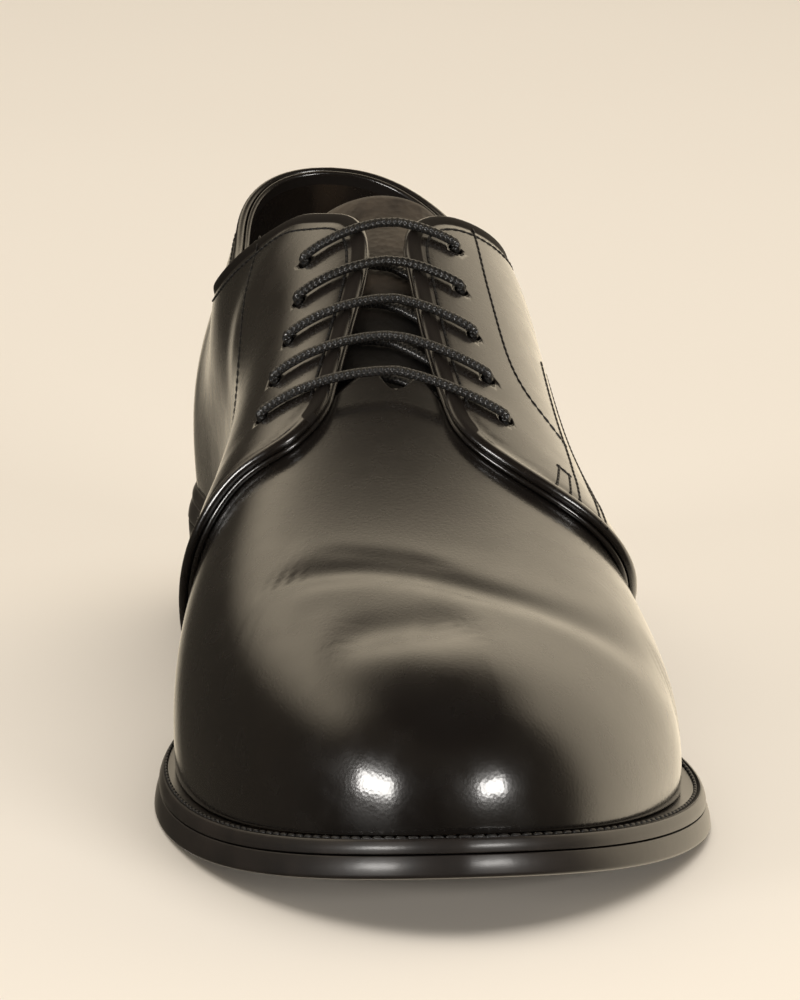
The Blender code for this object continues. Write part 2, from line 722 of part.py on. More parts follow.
def build():
    """Clear the scene and make every piece of the shoe."""
    for old in list(bpy.data.objects):
        bpy.data.objects.remove(old, do_unlink=True)
    upper_leather = material("upper_leather", (0.030, 0.027, 0.025), 0.28, 0.5)
    tongue_leather = material("tongue_leather", (0.070, 0.058, 0.048), 0.55)
    insole_leather = material("insole_leather", (0.26, 0.17, 0.10), 0.70)
    welt_leather = material("welt_leather", (0.022, 0.020, 0.019), 0.40)
    sole_leather = material("sole_leather", (0.026, 0.024, 0.022), 0.42)
    heel_rubber = material("heel_rubber", (0.020, 0.020, 0.020), 0.70)
    lace_cotton = material("lace_cotton", (0.025, 0.023, 0.022), 0.60)

    make_outsole(sole_leather)
    make_welt(welt_leather)
    make_heel("heel_stack", TOP_PIECE_HEIGHT + GAP, HEEL_HEIGHT - GAP, 0.0008, sole_leather)
    make_heel("heel_top_piece", 0.0, TOP_PIECE_HEIGHT, 0.0008, heel_rubber)
    make_insole(insole_leather)
    upper = make_upper(upper_leather)
    punch = upper.modifiers.new("eyelets", "BOOLEAN")
    punch.operation = "DIFFERENCE"
    punch.solver = "EXACT"
    punch.object = make_punch(upper_leather)
    make_tongue(tongue_leather)
    make_lace(lace_cotton)


build()
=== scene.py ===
# %% [markdown]
# # A black derby shoe
# A left derby shoe: a plain vamp, two quarters laced across the instep, a tongue, a welted
# leather sole and a stacked heel.  Everything soft on it is leather pulled over a wooden last,
# so the script first rebuilds the last as a surface and then lays each piece of leather on it.

import math

import bmesh
import bpy
import numpy as np
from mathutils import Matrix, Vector


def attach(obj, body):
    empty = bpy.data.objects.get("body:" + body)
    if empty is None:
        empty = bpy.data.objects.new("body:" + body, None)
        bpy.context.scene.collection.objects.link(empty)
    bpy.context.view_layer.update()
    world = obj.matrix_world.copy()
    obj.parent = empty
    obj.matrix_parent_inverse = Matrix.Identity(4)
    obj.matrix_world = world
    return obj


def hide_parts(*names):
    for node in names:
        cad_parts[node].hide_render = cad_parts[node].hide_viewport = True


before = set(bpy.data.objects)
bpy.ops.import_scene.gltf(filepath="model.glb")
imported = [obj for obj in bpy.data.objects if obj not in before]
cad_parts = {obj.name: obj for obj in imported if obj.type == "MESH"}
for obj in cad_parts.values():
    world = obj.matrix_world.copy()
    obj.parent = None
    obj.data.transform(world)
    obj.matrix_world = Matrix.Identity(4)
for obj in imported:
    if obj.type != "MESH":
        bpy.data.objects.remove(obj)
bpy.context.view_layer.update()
print("CAD nodes:", sorted(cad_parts))

# %% [markdown]
# ## The camera
# The photograph looks down at the toe from the front and a little from the medial side, with a
# long lens.  A long lens keeps the toe from swelling.  The place of the camera is in metres in
# the shoe's own frame: the toe points along -Y and the lateral side along +X.

# %% Camera
def add_object(name, data, spot=(0.0, 0.0, 0.0), aim=None):
    """Put a mesh, camera or lamp in the scene; with an aim, it looks from its spot to the aim."""
    made = bpy.data.objects.new(name, data)
    made.location = spot
    if aim is not None:
        made.rotation_euler = (Vector(aim) - Vector(spot)).to_track_quat("-Z", "Y").to_euler()
    bpy.context.scene.collection.objects.link(made)
    return made


CAMERA_PLACE = (-0.1237, -1.1941, 0.3076)
CAMERA_TARGET = (0.0004, 0.0, 0.0505)
camera_data = bpy.data.cameras.new("camera")
camera_data.sensor_width = 36.0
camera_data.lens = 212.0
camera_data.clip_start = 0.05
camera_data.clip_end = 60.0
bpy.context.scene.camera = add_object("camera", camera_data, CAMERA_PLACE, CAMERA_TARGET)
print("camera to shoe:", round(math.dist(CAMERA_TARGET, CAMERA_PLACE), 3), "m")

# %% [markdown]
# ## The last
# A last is hard to draw with a few curves, because its sections change from a round heel to a
# narrow waist and a broad ball.  Here it is a surface of two numbers.  Rib runs round the
# feather line, the edge where upper meets sole: 0 at the back of the heel, 1 or -1 at the tip of
# the toe, plus on the lateral side.  Lift climbs from the feather line (0) to the crest (a
# quarter turn).  The tables hold the section's sizes at stations along the foot, and a spline
# joins them, so one table row changes the whole shoe smoothly.

# %% Sizes of the last
LAST_LENGTH = 0.290
BALL_WIDTH = 0.0935
INSTEP_HEIGHT = 0.106
HEEL_HEIGHT = 0.022
TOE_SPRING = 0.0095
OUTSOLE_THICKNESS = 0.0045
WELT_THICKNESS = 0.0030
GAP = 0.0003
SEAT_CLEAR = 0.0002
TOE_REACH = 0.126
HEEL_REACH = 0.033
TOE_POWER = 2.03
HEEL_POWER = 2.0
TOE_FAN = 0.045
HEEL_FAN = 0.031
HEEL_FAN_END = 0.5
SLOPE_STEP = 0.01
SHANK_START = 0.24
FLAT_START = 0.605
FLAT_END = 0.72
CREST = math.pi / 2
CREST_BLEND = 0.03

# Widths, crest_x, bulge and tucks are shares of BALL_WIDTH, crest_z is a share of INSTEP_HEIGHT.
SECTION_COLUMNS = (
    "station", "medial", "lateral", "crest_x", "crest_z", "full", "bulge", "medial_tuck", "lateral_tuck",
)
LAST_SECTIONS = (
    (0.00, 0.308, 0.308, 0.000, 1.085, 0.60, 0.032, 0.000, 0.000),
    (0.10, 0.304, 0.318, 0.018, 1.100, 0.54, 0.036, 0.112, 0.036),
    (0.20, 0.278, 0.330, 0.046, 1.090, 0.40, 0.040, 0.000, 0.010),
    (0.32, 0.262, 0.348, 0.060, 1.030, 0.30, 0.034, -0.030, 0.000),
    (0.44, 0.300, 0.384, 0.036, 0.905, 0.26, 0.024, 0.000, 0.000),
    (0.56, 0.416, 0.444, 0.006, 0.750, 0.15, 0.020, 0.000, 0.000),
    (0.68, 0.508, 0.542, -0.020, 0.605, 0.12, 0.024, 0.000, 0.000),
    (0.80, 0.547, 0.607, -0.025, 0.500, 0.13, 0.022, 0.000, 0.000),
    (0.90, 0.564, 0.604, -0.025, 0.445, 0.14, 0.010, 0.000, 0.000),
    (1.00, 0.574, 0.594, -0.025, 0.420, 0.15, 0.004, 0.000, 0.000),
)


def ease(x):
    """Smooth step with flat ends: 6x^5 - 15x^4 + 10x^3 on 0..1."""
    x = np.clip(x, 0.0, 1.0)
    return x * x * x * (x * (6 * x - 15) + 10)


def smooth_curve(knots, values, at):
    """Natural cubic spline through (knots, values), read at the given places."""
    knots = np.asarray(knots, float)
    values = np.asarray(values, float)
    count = len(knots)
    width = np.diff(knots)
    slope = np.diff(values) / width
    system = np.diag(np.r_[1.0, 2 * (width[:-1] + width[1:]), 1.0])
    inner = np.arange(1, count - 1)
    system[inner, inner - 1] = width[:-1]
    system[inner, inner + 1] = width[1:]
    bend = np.linalg.solve(system, np.r_[0.0, 6 * np.diff(slope), 0.0])
    at = np.clip(np.asarray(at, float), knots[0], knots[-1])
    cell = np.clip(np.searchsorted(knots, at) - 1, 0, count - 2)
    h = width[cell]
    a = (knots[cell + 1] - at) / h
    b = (at - knots[cell]) / h
    curve = (a ** 3 - a) * bend[cell] + (b ** 3 - b) * bend[cell + 1]
    return a * values[cell] + b * values[cell + 1] + curve * h * h / 6


def splined(at, knots, rows):
    """Every column of rows, known at the knots, read at other places along a smooth curve."""
    return np.stack([smooth_curve(knots, column, at) for column in rows.T], -1)


def read_table(table, column, at):
    """One column of a table, joined by a spline over its first column and read at any place."""
    rows = np.array(table)
    return smooth_curve(rows[:, 0], rows[:, column], at)


def section(name, station):
    """One column of LAST_SECTIONS read at any station."""
    return read_table(LAST_SECTIONS, SECTION_COLUMNS.index(name), station)


print("ball width", BALL_WIDTH, "m, length", LAST_LENGTH, "m")


# %% The last as a surface
def tread_height(along):
    """Outsole's lower face: heel height (1 - ease) + toe spring t^2, t from flat end to toe."""
    share = np.asarray(along, float) / LAST_LENGTH
    shank = ease((share - SHANK_START) / (FLAT_START - SHANK_START))
    spring = np.maximum(share - FLAT_END, 0.0) / (1 - FLAT_END)
    return HEEL_HEIGHT * (1 - shank) + TOE_SPRING * spring ** 2


def feather_height(along):
    """Height of the upper's bottom edge, one gap above the welt."""
    return tread_height(along) + OUTSOLE_THICKNESS + GAP + WELT_THICKNESS + GAP


def round_end(distance, reach, power):
    """Share of full width near a rounded end: (1 - (1 - d/reach)^power)^(1/power)."""
    inside = np.clip(distance / reach, 0.0, 1.0)
    return (1 - (1 - inside) ** power) ** (1 / power)


def crest_station(along):
    """Where the rib that starts at this place meets the crest: ribs fan at toe and heel."""
    crest = LAST_LENGTH - np.sqrt((LAST_LENGTH - along) ** 2 + TOE_FAN ** 2)
    pulled = np.sqrt(crest ** 2 + HEEL_FAN ** 2)
    return crest + (pulled - crest) * (1 - ease(along / (HEEL_FAN_END * LAST_LENGTH)))


def last_surface(rib, lift):
    """Point of the last, from the feather line to the crest.

    The share left to the crest is cos(lift) (1 + full sin^2(lift)) plus the bulge, a wave
    sin(2 lift) cos(lift), less the tuck, a narrower wave sin^3(2 lift).  The rise is sin(lift),
    tilted with the slope of the crest.
    """
    rib, lift = np.broadcast_arrays(np.asarray(rib, float), np.asarray(lift, float))
    rib = (rib + 1) % 2 - 1
    side = np.where(rib >= 0, 1.0, -1.0)
    along = LAST_LENGTH * (1 - np.cos(np.pi * np.abs(rib))) / 2
    station = along / LAST_LENGTH
    heel_end = round_end(along, HEEL_REACH, HEEL_POWER)
    ends = heel_end * round_end(LAST_LENGTH - along, TOE_REACH, TOE_POWER)
    lateral = section("lateral", station) * BALL_WIDTH * ends
    medial = section("medial", station) * BALL_WIDTH * ends
    foot_x = np.where(side > 0, lateral, -medial)
    foot_z = feather_height(along)
    crest_y = crest_station(along)
    crest_share = crest_y / LAST_LENGTH
    crest_x = section("crest_x", crest_share) * BALL_WIDTH
    crest_z = section("crest_z", crest_share) * INSTEP_HEIGHT
    ahead = section("crest_z", crest_share + SLOPE_STEP)
    behind = section("crest_z", crest_share - SLOPE_STEP)
    crest_slope = (ahead - behind) * INSTEP_HEIGHT / (2 * SLOPE_STEP * LAST_LENGTH)
    own = np.hypot(foot_x - crest_x, along - crest_y)
    other = np.hypot(np.where(side > 0, -medial, lateral) - crest_x, along - crest_y)
    full = (own + other) / 2 * (1 + section("full", station)) / own - 1
    tuck = np.where(side > 0, section("lateral_tuck", station), section("medial_tuck", station))
    bulge = section("bulge", station) * BALL_WIDTH * np.sin(2 * lift) * np.cos(lift)
    bulge = bulge - tuck * BALL_WIDTH * np.sin(2 * lift) ** 3
    plan = np.cos(lift) * (1 + full * np.sin(lift) ** 2) + bulge / own
    tilt = crest_slope * (along - crest_y) * plan * (1 - np.clip(plan, 0, 1)) ** 2
    x = crest_x + (foot_x - crest_x) * plan
    y = crest_y + (along - crest_y) * plan
    z = foot_z + (crest_z - foot_z) * np.sin(lift) + tilt
    return np.stack([x, y, z], -1)


def unit(vectors):
    """Vectors divided by their own length."""
    return vectors / np.linalg.norm(vectors, axis=-1, keepdims=True)


def last_normal(rib, lift):
    """Outward unit normal; at the crest the two sides share their mean."""
    rib, lift = np.broadcast_arrays(np.asarray(rib, float), np.asarray(lift, float))
    step = 2e-4
    low = np.minimum(lift, CREST - CREST_BLEND)

    def one_side(place):
        """Normal where the ribs keep to one side: along crossed with up."""
        along = last_surface(place + step, low) - last_surface(place - step, low)
        up = last_surface(place, low + step) - last_surface(place, low - step)
        return unit(np.cross(along, up))

    share = ease((lift - low) / CREST_BLEND)[..., None]
    return unit(one_side(rib) + one_side(-rib) * share)


def shell(rib, lift, offset):
    """The last moved outward by offset, kept above the feather plane."""
    offset = np.asarray(offset, float)
    point = last_surface(rib, lift) + last_normal(rib, lift) * offset[..., None]
    point[..., 2] = np.maximum(point[..., 2], feather_height(point[..., 1]) + SEAT_CLEAR)
    return point


print("toe tip height", round(float(last_surface(1.0, 0.0)[2]), 4), "m")

# %% [markdown]
# ## The plan of the sole
# The sole overhangs the feather line all round, a little more at the toe and the lateral ball.
# The middle of its plan is the origin of the shoe's own frame, so every point made on the last
# is moved by that middle and its Y is turned round.


# %% Outline of the sole
def outline(rib, grow):
    """Plan of the feather line moved outward by grow, as (x, along) points."""
    step = 1e-3
    flat = np.zeros(len(rib))
    base = last_surface(rib, flat)[:, :2]
    way = unit((last_surface(rib + step, flat) - last_surface(rib - step, flat))[:, :2])
    return base + np.stack([way[:, 1], -way[:, 0]], -1) * np.asarray(grow)[..., None]


# Rib and overhang of the sole beyond the feather line there.
SOLE_OVERHANG = (
    (-1.00, 0.0078),
    (-0.86, 0.0060),
    (-0.66, 0.0062),
    (-0.42, 0.0050),
    (0.00, 0.0058),
    (0.42, 0.0050),
    (0.66, 0.0078),
    (0.86, 0.0068),
    (1.00, 0.0078),
)


def overhang(rib):
    """Overhang of the outsole beyond the feather line at a rib: a spline through the table."""
    return read_table(SOLE_OVERHANG, 1, rib)


plan_ribs = np.linspace(-1, 1, 401)
sole_plan = outline(plan_ribs, overhang(plan_ribs))
PLAN_MIDDLE = (sole_plan.min(axis=0) + sole_plan.max(axis=0)) / 2


def place(points):
    """Last coordinates (x, along, z) to the shoe's frame: x - middle, middle - along, z."""
    x = points[..., 0] - PLAN_MIDDLE[0]
    y = PLAN_MIDDLE[1] - points[..., 1]
    return np.stack([x, y, points[..., 2]], -1)


print("sole", np.round(sole_plan.max(axis=0) - sole_plan.min(axis=0), 4), "m")

# %% [markdown]
# ## From points to meshes
# Every piece here is one or more grids of points.  The quads of a grid follow from its size
# alone, so they are made by counting, not by drawing.  The patches of a piece are welded where
# they meet, which closes the solid, and the faces are then turned outward.

# %% Grids, patches and pieces
WELD = 2e-6
THINNEST = 1e-7


def quads(columns, rows, start):
    """Corner numbers of the quads of a columns x rows grid of points."""
    number = start + np.arange(columns * rows).reshape(columns, rows)
    corners = (number[:-1, :-1], number[1:, :-1], number[1:, 1:], number[:-1, 1:])
    return np.stack(corners, -1).reshape(-1, 4)


class Patches:
    """Grids of points gathered for one piece, with any values that the finish reads."""

    def __init__(self, *names):
        self.points = []
        self.faces = []
        self.looks = []
        self.values = {name: [] for name in names}
        self.count = 0

    def add(self, grid, look=0, **values):
        """Add a columns x rows grid of points and its values."""
        columns, rows = grid.shape[:2]
        self.faces.append(quads(columns, rows, self.count))
        self.looks.append(np.full(len(self.faces[-1]), look))
        self.points.append(grid.reshape(-1, 3))
        for name, column in self.values.items():
            column.append(np.broadcast_to(values.get(name, 0.0), (columns, rows)).ravel())
        self.count += columns * rows

    def wall(self, inner, outer, edges, **values):
        """Add two matching grids and the strips that join them along the named edges."""
        self.add(inner, **values)
        self.add(outer, **values)
        for edge in edges:
            strip = {name: np.stack([column[edge]] * 2) for name, column in values.items()}
            self.add(np.stack([inner[edge], outer[edge]]), **strip)


def closed_mesh(name, patches, looks):
    """Weld the patches into one mesh that faces outward, and count the edges left open."""
    mesh = bpy.data.meshes.new(name)
    mesh.from_pydata(place(np.concatenate(patches.points)), [], np.concatenate(patches.faces))
    mesh.polygons.foreach_set("material_index", np.concatenate(patches.looks).astype(np.int32))
    for title, column in patches.values.items():
        layer = mesh.attributes.new(title, "FLOAT", "POINT")
        layer.data.foreach_set("value", np.concatenate(column).astype(np.float32))
    for look in looks:
        mesh.materials.append(look)
    body = bmesh.new()
    body.from_mesh(mesh)
    bmesh.ops.remove_doubles(body, verts=body.verts, dist=WELD)
    bmesh.ops.dissolve_degenerate(body, edges=body.edges, dist=THINNEST)
    bmesh.ops.recalc_face_normals(body, faces=body.faces)
    if body.calc_volume(signed=True) < 0:
        bmesh.ops.reverse_faces(body, faces=body.faces)
    loose = sum(1 for edge in body.edges if not edge.is_manifold)
    body.to_mesh(mesh)
    body.free()
    return mesh, loose


def make_piece(name, patches, looks, sharp=None):
    """One closed, smooth piece on the root body; sharp is the angle that stays an edge."""
    mesh, loose = closed_mesh(name, patches, looks)
    mesh.shade_smooth()
    if sharp:
        mesh.set_sharp_from_angle(angle=math.radians(sharp))
    made = add_object(name, mesh)
    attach(made, "root")
    print(name, len(mesh.vertices), "points,", len(mesh.polygons), "faces, open edges", loose)
    return made


print("a 3 x 2 grid has the quads", quads(3, 2, 0).tolist())
# %% [markdown]
# ## Finishes
# Box calf is black leather with a thin clear film: a dark, slightly brown body under a smooth
# coat.  A Principled shader gives both, with the grain as a very shallow bump, so the shine
# breaks up only a little.  The patterns read Object coordinates in metres, so their scale is
# real and they don't stretch.


# %% Nodes, and a finish made of them
class Nodes:
    """A node tree with short helpers that add nodes to it."""

    def __init__(self, tree):
        self.nodes = tree.nodes
        self.links = tree.links

    def put(self, value, socket):
        """Fill a socket with a link, a colour of three parts or a number."""
        if isinstance(value, bpy.types.NodeSocket):
            self.links.new(value, socket)
        elif isinstance(value, tuple):
            socket.default_value = (*value, 1.0)
        else:
            socket.default_value = value

    def node(self, kind, inputs):
        """A new node with its inputs filled, by name or by number."""
        made = self.nodes.new("ShaderNode" + kind)
        for key, value in inputs.items():
            self.put(value, made.inputs[key])
        return made

    def math(self, operation, *terms):
        """One sum on numbers or sockets."""
        made = self.node("Math", dict(enumerate(terms)))
        made.operation = operation
        return made.outputs[0]

    def band(self, source, low, high, start=0.0, end=1.0):
        """Smooth step of a value, from start at low to end at high."""
        inputs = {"Value": source, "From Min": low, "From Max": high, "To Min": start, "To Max": end}
        made = self.node("MapRange", inputs)
        made.interpolation_type = "SMOOTHSTEP"
        return made.outputs["Result"]

    def mix(self, share, one, two):
        """Colour between one and two by a share."""
        made = self.nodes.new("ShaderNodeMix")
        made.data_type = "RGBA"
        for number, value in ((0, share), (6, one), (7, two)):
            self.put(value, made.inputs[number])
        return made.outputs[2]


class Finish(Nodes):
    """A material with one Principled shader whose patterns are measured in metres."""

    def __init__(self, name, roughness, coat, coat_roughness, ior=1.5):
        self.material = bpy.data.materials.new(name)
        self.material.use_nodes = True
        super().__init__(self.material.node_tree)
        self.place = self.nodes.new("ShaderNodeTexCoord").outputs["Object"]
        self.height = None
        self.send("Roughness", roughness)
        self.send("Coat Weight", coat)
        self.send("Coat Roughness", coat_roughness)
        self.send("IOR", ior)

    def send(self, name, value):
        """Send a colour, a number or a pattern to one input of the shader."""
        self.put(value, self.nodes["Principled BSDF"].inputs[name])

    def noise(self, scale, detail=2.0, roughness=0.5):
        """Soft clouds: noise whose scale is in patches a metre."""
        inputs = {"Vector": self.place, "Scale": scale, "Detail": detail, "Roughness": roughness}
        return self.node("TexNoise", inputs).outputs["Fac"]

    def cells(self, scale):
        """Round grain: distance to scattered points."""
        return self.node("TexVoronoi", {"Vector": self.place, "Scale": scale}).outputs["Distance"]

    def value(self, name):
        """A value stored on the mesh."""
        made = self.nodes.new("ShaderNodeAttribute")
        made.attribute_name = name
        return made.outputs["Fac"]

    def clouded(self, scale, detail, dark, light):
        """Body colour in soft clouds between two tones."""
        self.send("Base Color", self.mix(self.band(self.noise(scale, detail), 0.3, 0.7), dark, light))

    def relief(self, source, depth, strength):
        """Bump of a real depth in metres, stacked on what is there."""
        inputs = {"Height": source, "Distance": depth, "Strength": strength}
        if self.height:
            inputs["Normal"] = self.height
        self.height = self.node("Bump", inputs).outputs["Normal"]
        self.send("Normal", self.height)
        self.send("Coat Normal", self.height)


print("finish helpers ready:", [name for name in vars(Finish) if not name.startswith("_")])

# %% Calf for the vamp and the quarters
FILM = 0.80
# The dull binding under the top edge fades in and out at these distances, in millimetres.
BINDING_START = (0.4, 0.8)
BINDING_END = (2.9, 3.3)
BINDING_ROUGHNESS = 0.62
BINDING_SHINE = 0.15
FULL_SHINE = 0.50


def box_calf(name, dark, warm, roughness):
    """Glossy leather: two close colours in slow clouds, fine pores, slightly uneven film."""
    calf = Finish(name, roughness, FILM, 0.12)
    calf.send("Base Color", calf.mix(calf.band(calf.noise(38.0, 3.0, 0.6), 0.35, 0.7), dark, warm))
    calf.gloss = calf.band(calf.noise(160.0, 3.0), 0.3, 0.7, roughness * 0.85, roughness * 1.2)
    calf.send("Roughness", calf.gloss)
    calf.relief(calf.noise(45.0), 0.00012, 0.5)
    calf.relief(calf.cells(1500.0), 0.00002, 0.5)
    return calf


vamp_finish = box_calf("vamp_calf", (0.008, 0.0065, 0.0055), (0.010, 0.008, 0.0065), 0.24)
quarter_finish = box_calf("quarter_calf", (0.009, 0.007, 0.0055), (0.011, 0.0085, 0.007), 0.26)
sums = quarter_finish.math
from_top = quarter_finish.value("trim")
row_start = quarter_finish.band(from_top, *BINDING_START)
row_end = quarter_finish.band(from_top, *BINDING_END, 1.0, 0.0)
dull = sums("MULTIPLY", row_start, row_end)
clear = sums("SUBTRACT", 1.0, dull)
shine = sums("ADD", sums("MULTIPLY", clear, FULL_SHINE - BINDING_SHINE), BINDING_SHINE)
rough = sums("MAXIMUM", quarter_finish.gloss, sums("MULTIPLY", dull, BINDING_ROUGHNESS))
quarter_finish.send("Roughness", rough)
quarter_finish.send("Coat Weight", sums("MULTIPLY", clear, FILM))
quarter_finish.send("Specular IOR Level", shine)
print("materials:", [m.name for m in bpy.data.materials if m.name.endswith("_calf")])


# %% [markdown]
# ## Where the leather is cut
# The quarters lie over the vamp.  Their front edges sweep up from the sole to the throat, turn a
# soft corner and run back along the lacing as the facings.  The tables give both edges as
# places on the last, because a pattern cutter marks them there too.

# %% Edges of the quarters
VAMP_WALL = 0.0015
QUARTER_WALL = 0.0030
BACKING_WALL = 0.0013
LAYER_GAP = 0.0001
FACING_RISE = 0.0014
CORNER_REACH = 0.0080
# Lateral rib and lift, then medial rib and lift, in degrees, from the sole up.
FRONT_EDGE = (
    (0.524, 0.0, 0.515, 0.0),
    (0.565, 18.0, 0.548, 18.0),
    (0.606, 38.0, 0.574, 38.0),
    (0.619, 54.0, 0.582, 53.0),
    (0.617, 66.0, 0.589, 64.0),
    (0.600, 78.0, 0.581, 74.0),
)
# Rib, lateral lift and medial lift in degrees, from the heel seam forward.
TOP_EDGE = (
    (0.000, 50.8, 50.8),
    (0.045, 50.1, 50.0),
    (0.130, 44.8, 44.0),
    (0.240, 37.6, 36.6),
    (0.320, 39.6, 39.4),
    (0.372, 47.6, 52.6),
    (0.405, 57.8, 66.4),
    (0.424, 70.0, 74.0),
    (0.436, 79.0, 79.6),
    (0.452, 85.4, 83.0),
    (0.480, 86.3, 83.4),
    (0.520, 84.0, 79.4),
    (0.555, 81.6, 76.2),
)


def run_length(points):
    """Length along a polyline from its start to each of its points."""
    return np.r_[0.0, np.cumsum(np.linalg.norm(np.diff(points, axis=0), axis=-1))]


def on_last(curve, side=1):
    """Points of the last for (rib, lift) rows on the lateral (1) or the medial (-1) side."""
    return last_surface(curve[:, 0] * side, curve[:, 1])


def resampled(at, knots, rows):
    """Every column of rows, known at the knots, read at other places along straight lines."""
    return np.stack([np.interp(at, knots, column) for column in rows.T], -1)


def even_curve(curve, count):
    """The same curve of (rib, lift) rows with its points evenly spaced on the last."""
    length = run_length(on_last(curve))
    return resampled(np.linspace(0, length[-1], count), length, curve)


def table_curve(rib, lift, count):
    """(rib, lift) knots joined by a spline, with its points evenly spaced on the last."""
    knots = run_length(last_surface(rib, lift))
    curve = splined(np.linspace(0, knots[-1], 500), knots, np.stack([rib, lift], -1))
    return even_curve(curve, count)


def front_edge(side, count=400):
    """Front edge of one quarter as (rib, lift) rows, from the feather line up."""
    rows = np.array(FRONT_EDGE)
    first = 0 if side > 0 else 2
    return table_curve(rows[:, first], np.radians(rows[:, first + 1]), count)


def top_edge(side, count=400):
    """Top edge of one quarter as (rib, lift) rows, from the heel to the throat corner."""
    rows = np.array(TOP_EDGE)
    corner = front_edge(side, 2)[-1]
    rib = np.r_[rows[:, 0], corner[0]]
    lift = np.r_[np.radians(rows[:, 1 if side > 0 else 2]), corner[1]]
    return table_curve(rib, lift, count)


def soft_corner(side, fine=1200):
    """Both edges with the corner rounded: (1-t)^2 start + 2t(1-t) corner + t^2 end."""
    top = top_edge(side, fine)
    front = front_edge(side, fine)
    keep_top = int(fine * (1 - CORNER_REACH / run_length(on_last(top))[-1]))
    keep_front = int(fine * (1 - CORNER_REACH / run_length(on_last(front))[-1]))
    share = np.linspace(0, 1, 81)[:, None]
    start, corner, end = top[keep_top], top[-1], front[keep_front]
    bend = (1 - share) ** 2 * start + 2 * share * (1 - share) * corner + share ** 2 * end
    new_top = np.vstack([top[:keep_top], bend[:41]])
    new_front = np.vstack([front[:keep_front], bend[40:][::-1]])
    return even_curve(new_top, 600), even_curve(new_front, 400)


EDGES = {side: soft_corner(side) for side in (1, -1)}
for side, (top, front) in EDGES.items():
    print("side", side, "top edge", round(float(run_length(on_last(top))[-1]), 3), "m")

# %% [markdown]
# A quarter has four sides: sole, top edge, heel seam and front edge.  Blending between opposite
# sides fills such a frame with an even net.  The net is then drawn close together along the cut
# edges, since that is where the leather rolls over.


# %% A patch between four edges
def read_curve(curve, share):
    """Point of an evenly spaced curve at a share of its length."""
    return resampled(share, np.linspace(0, 1, len(curve)), curve)


def framed_net(p, q, bottom, top, back, front):
    """Net in a frame: both ruled surfaces between opposite edges, less the one of the corners."""
    across = p[..., None]
    up = q[..., None]
    ruled = (1 - up) * read_curve(bottom, p) + up * read_curve(top, p)
    ruled = ruled + (1 - across) * read_curve(back, q) + across * read_curve(front, q)
    corners = (1 - across) * ((1 - up) * bottom[0] + up * top[0])
    corners = corners + across * ((1 - up) * bottom[-1] + up * top[-1])
    return ruled - corners


def line_distance(points, line, batch=4000):
    """Shortest distance from each point to a polyline: nearest knot, then its two segments."""
    shape = points.shape[:-1]
    flat = points.reshape(-1, 3)
    best = np.empty(len(flat))
    for start in range(0, len(flat), batch):
        part = flat[start:start + batch]
        gap = ((part[:, None] - line[None]) ** 2).sum(-1)
        near = gap.argmin(1)
        found = np.sqrt(gap.min(1))
        for shift in (-1, 0):
            first = np.clip(near + shift, 0, len(line) - 2)
            one, two = line[first], line[first + 1]
            way = two - one
            share = ((part - one) * way).sum(-1) / np.maximum((way * way).sum(-1), 1e-18)
            foot = one + way * np.clip(share, 0, 1)[:, None]
            found = np.minimum(found, np.linalg.norm(part - foot, axis=-1))
        best[start:start + batch] = found
    return best.reshape(shape)


# Distances from a cut edge, in millimetres, at which the net has a line.
ROLL_MM = (6.5, 4.6, 3.9, 3.45, 3.1, 2.75, 2.3, 1.8, 1.35, 0.98, 0.72, 0.50, 0.33, 0.20, 0.11, 0.04, 0.0)
ROLL_STEPS = np.array(ROLL_MM) / 1000


def toward_edge(columns, length):
    """Shares 0..1 that are even over the body and crowd together at the far edge."""
    body = np.linspace(0, 1, columns)[:-1][:, None] * (1 - ROLL_STEPS[0] / length)[None]
    edge = 1 - ROLL_STEPS[:, None] / length[None]
    return np.vstack([body, edge])


def quarter_places(side, columns=110, rows=58):
    """(rib, lift) grid of one quarter with its points crowded along the cut edges."""
    top, front = EDGES[side]
    bottom = table_curve(np.linspace(0, front[0, 0], 20), np.zeros(20), 400)
    back = np.linspace(0, 1, 100)[:, None] * top[0]
    share = np.linspace(0, 1, 60)
    nominal = framed_net(*np.meshgrid(share, share, indexing="ij"), bottom, top, back, front)
    points = last_surface(nominal[..., 0], nominal[..., 1])
    row_length = np.linalg.norm(np.diff(points, axis=0), axis=-1).sum(0)
    column_length = np.linalg.norm(np.diff(points, axis=1), axis=-1).sum(1)
    rough_q = toward_edge(rows, column_length[-1:])[:, 0]
    p = toward_edge(columns, np.interp(rough_q, share, row_length))
    q = toward_edge(rows, np.interp(p[:, -1], share, column_length)).T
    return framed_net(p, q, bottom, top, back, front)


print("net drawn close from", ROLL_MM[0], "mm before a cut edge")

# %% [markdown]
# ## How thick the quarter is, and where it stands
# The facings stand a little clear of the tongue, while the front of the quarter lies on the
# vamp.  Near its cut edge the leather is turned: it swells a little, then has a shallow groove
# where the edge stitching pulls it down.

# %% Heights of the quarter
FACING_START = 0.375
FACING_FADE = 0.045
FACING_FRONT = 0.026
FACING_FOOT = math.radians(24)
FACING_CLIMB = math.radians(20)
VAMP_HOLD = 0.010
VAMP_FADE = 0.008


def facing_mask(rib, lift):
    """1 under the facings, where the quarter stands clear of the tongue, 0 elsewhere."""
    side = np.where(rib >= 0, 1, -1)
    mask = np.zeros(np.broadcast(rib, lift).shape)
    for hand in (1, -1):
        edge = front_edge(hand, 60)
        front = np.interp(lift, edge[:, 1], edge[:, 0])
        here = ease((np.abs(rib) - FACING_START) / FACING_FADE)
        here = here * ease((front - np.abs(rib)) / FACING_FRONT)
        mask = np.where(side == hand, here, mask)
    return mask * ease((lift - FACING_FOOT) / FACING_CLIMB)


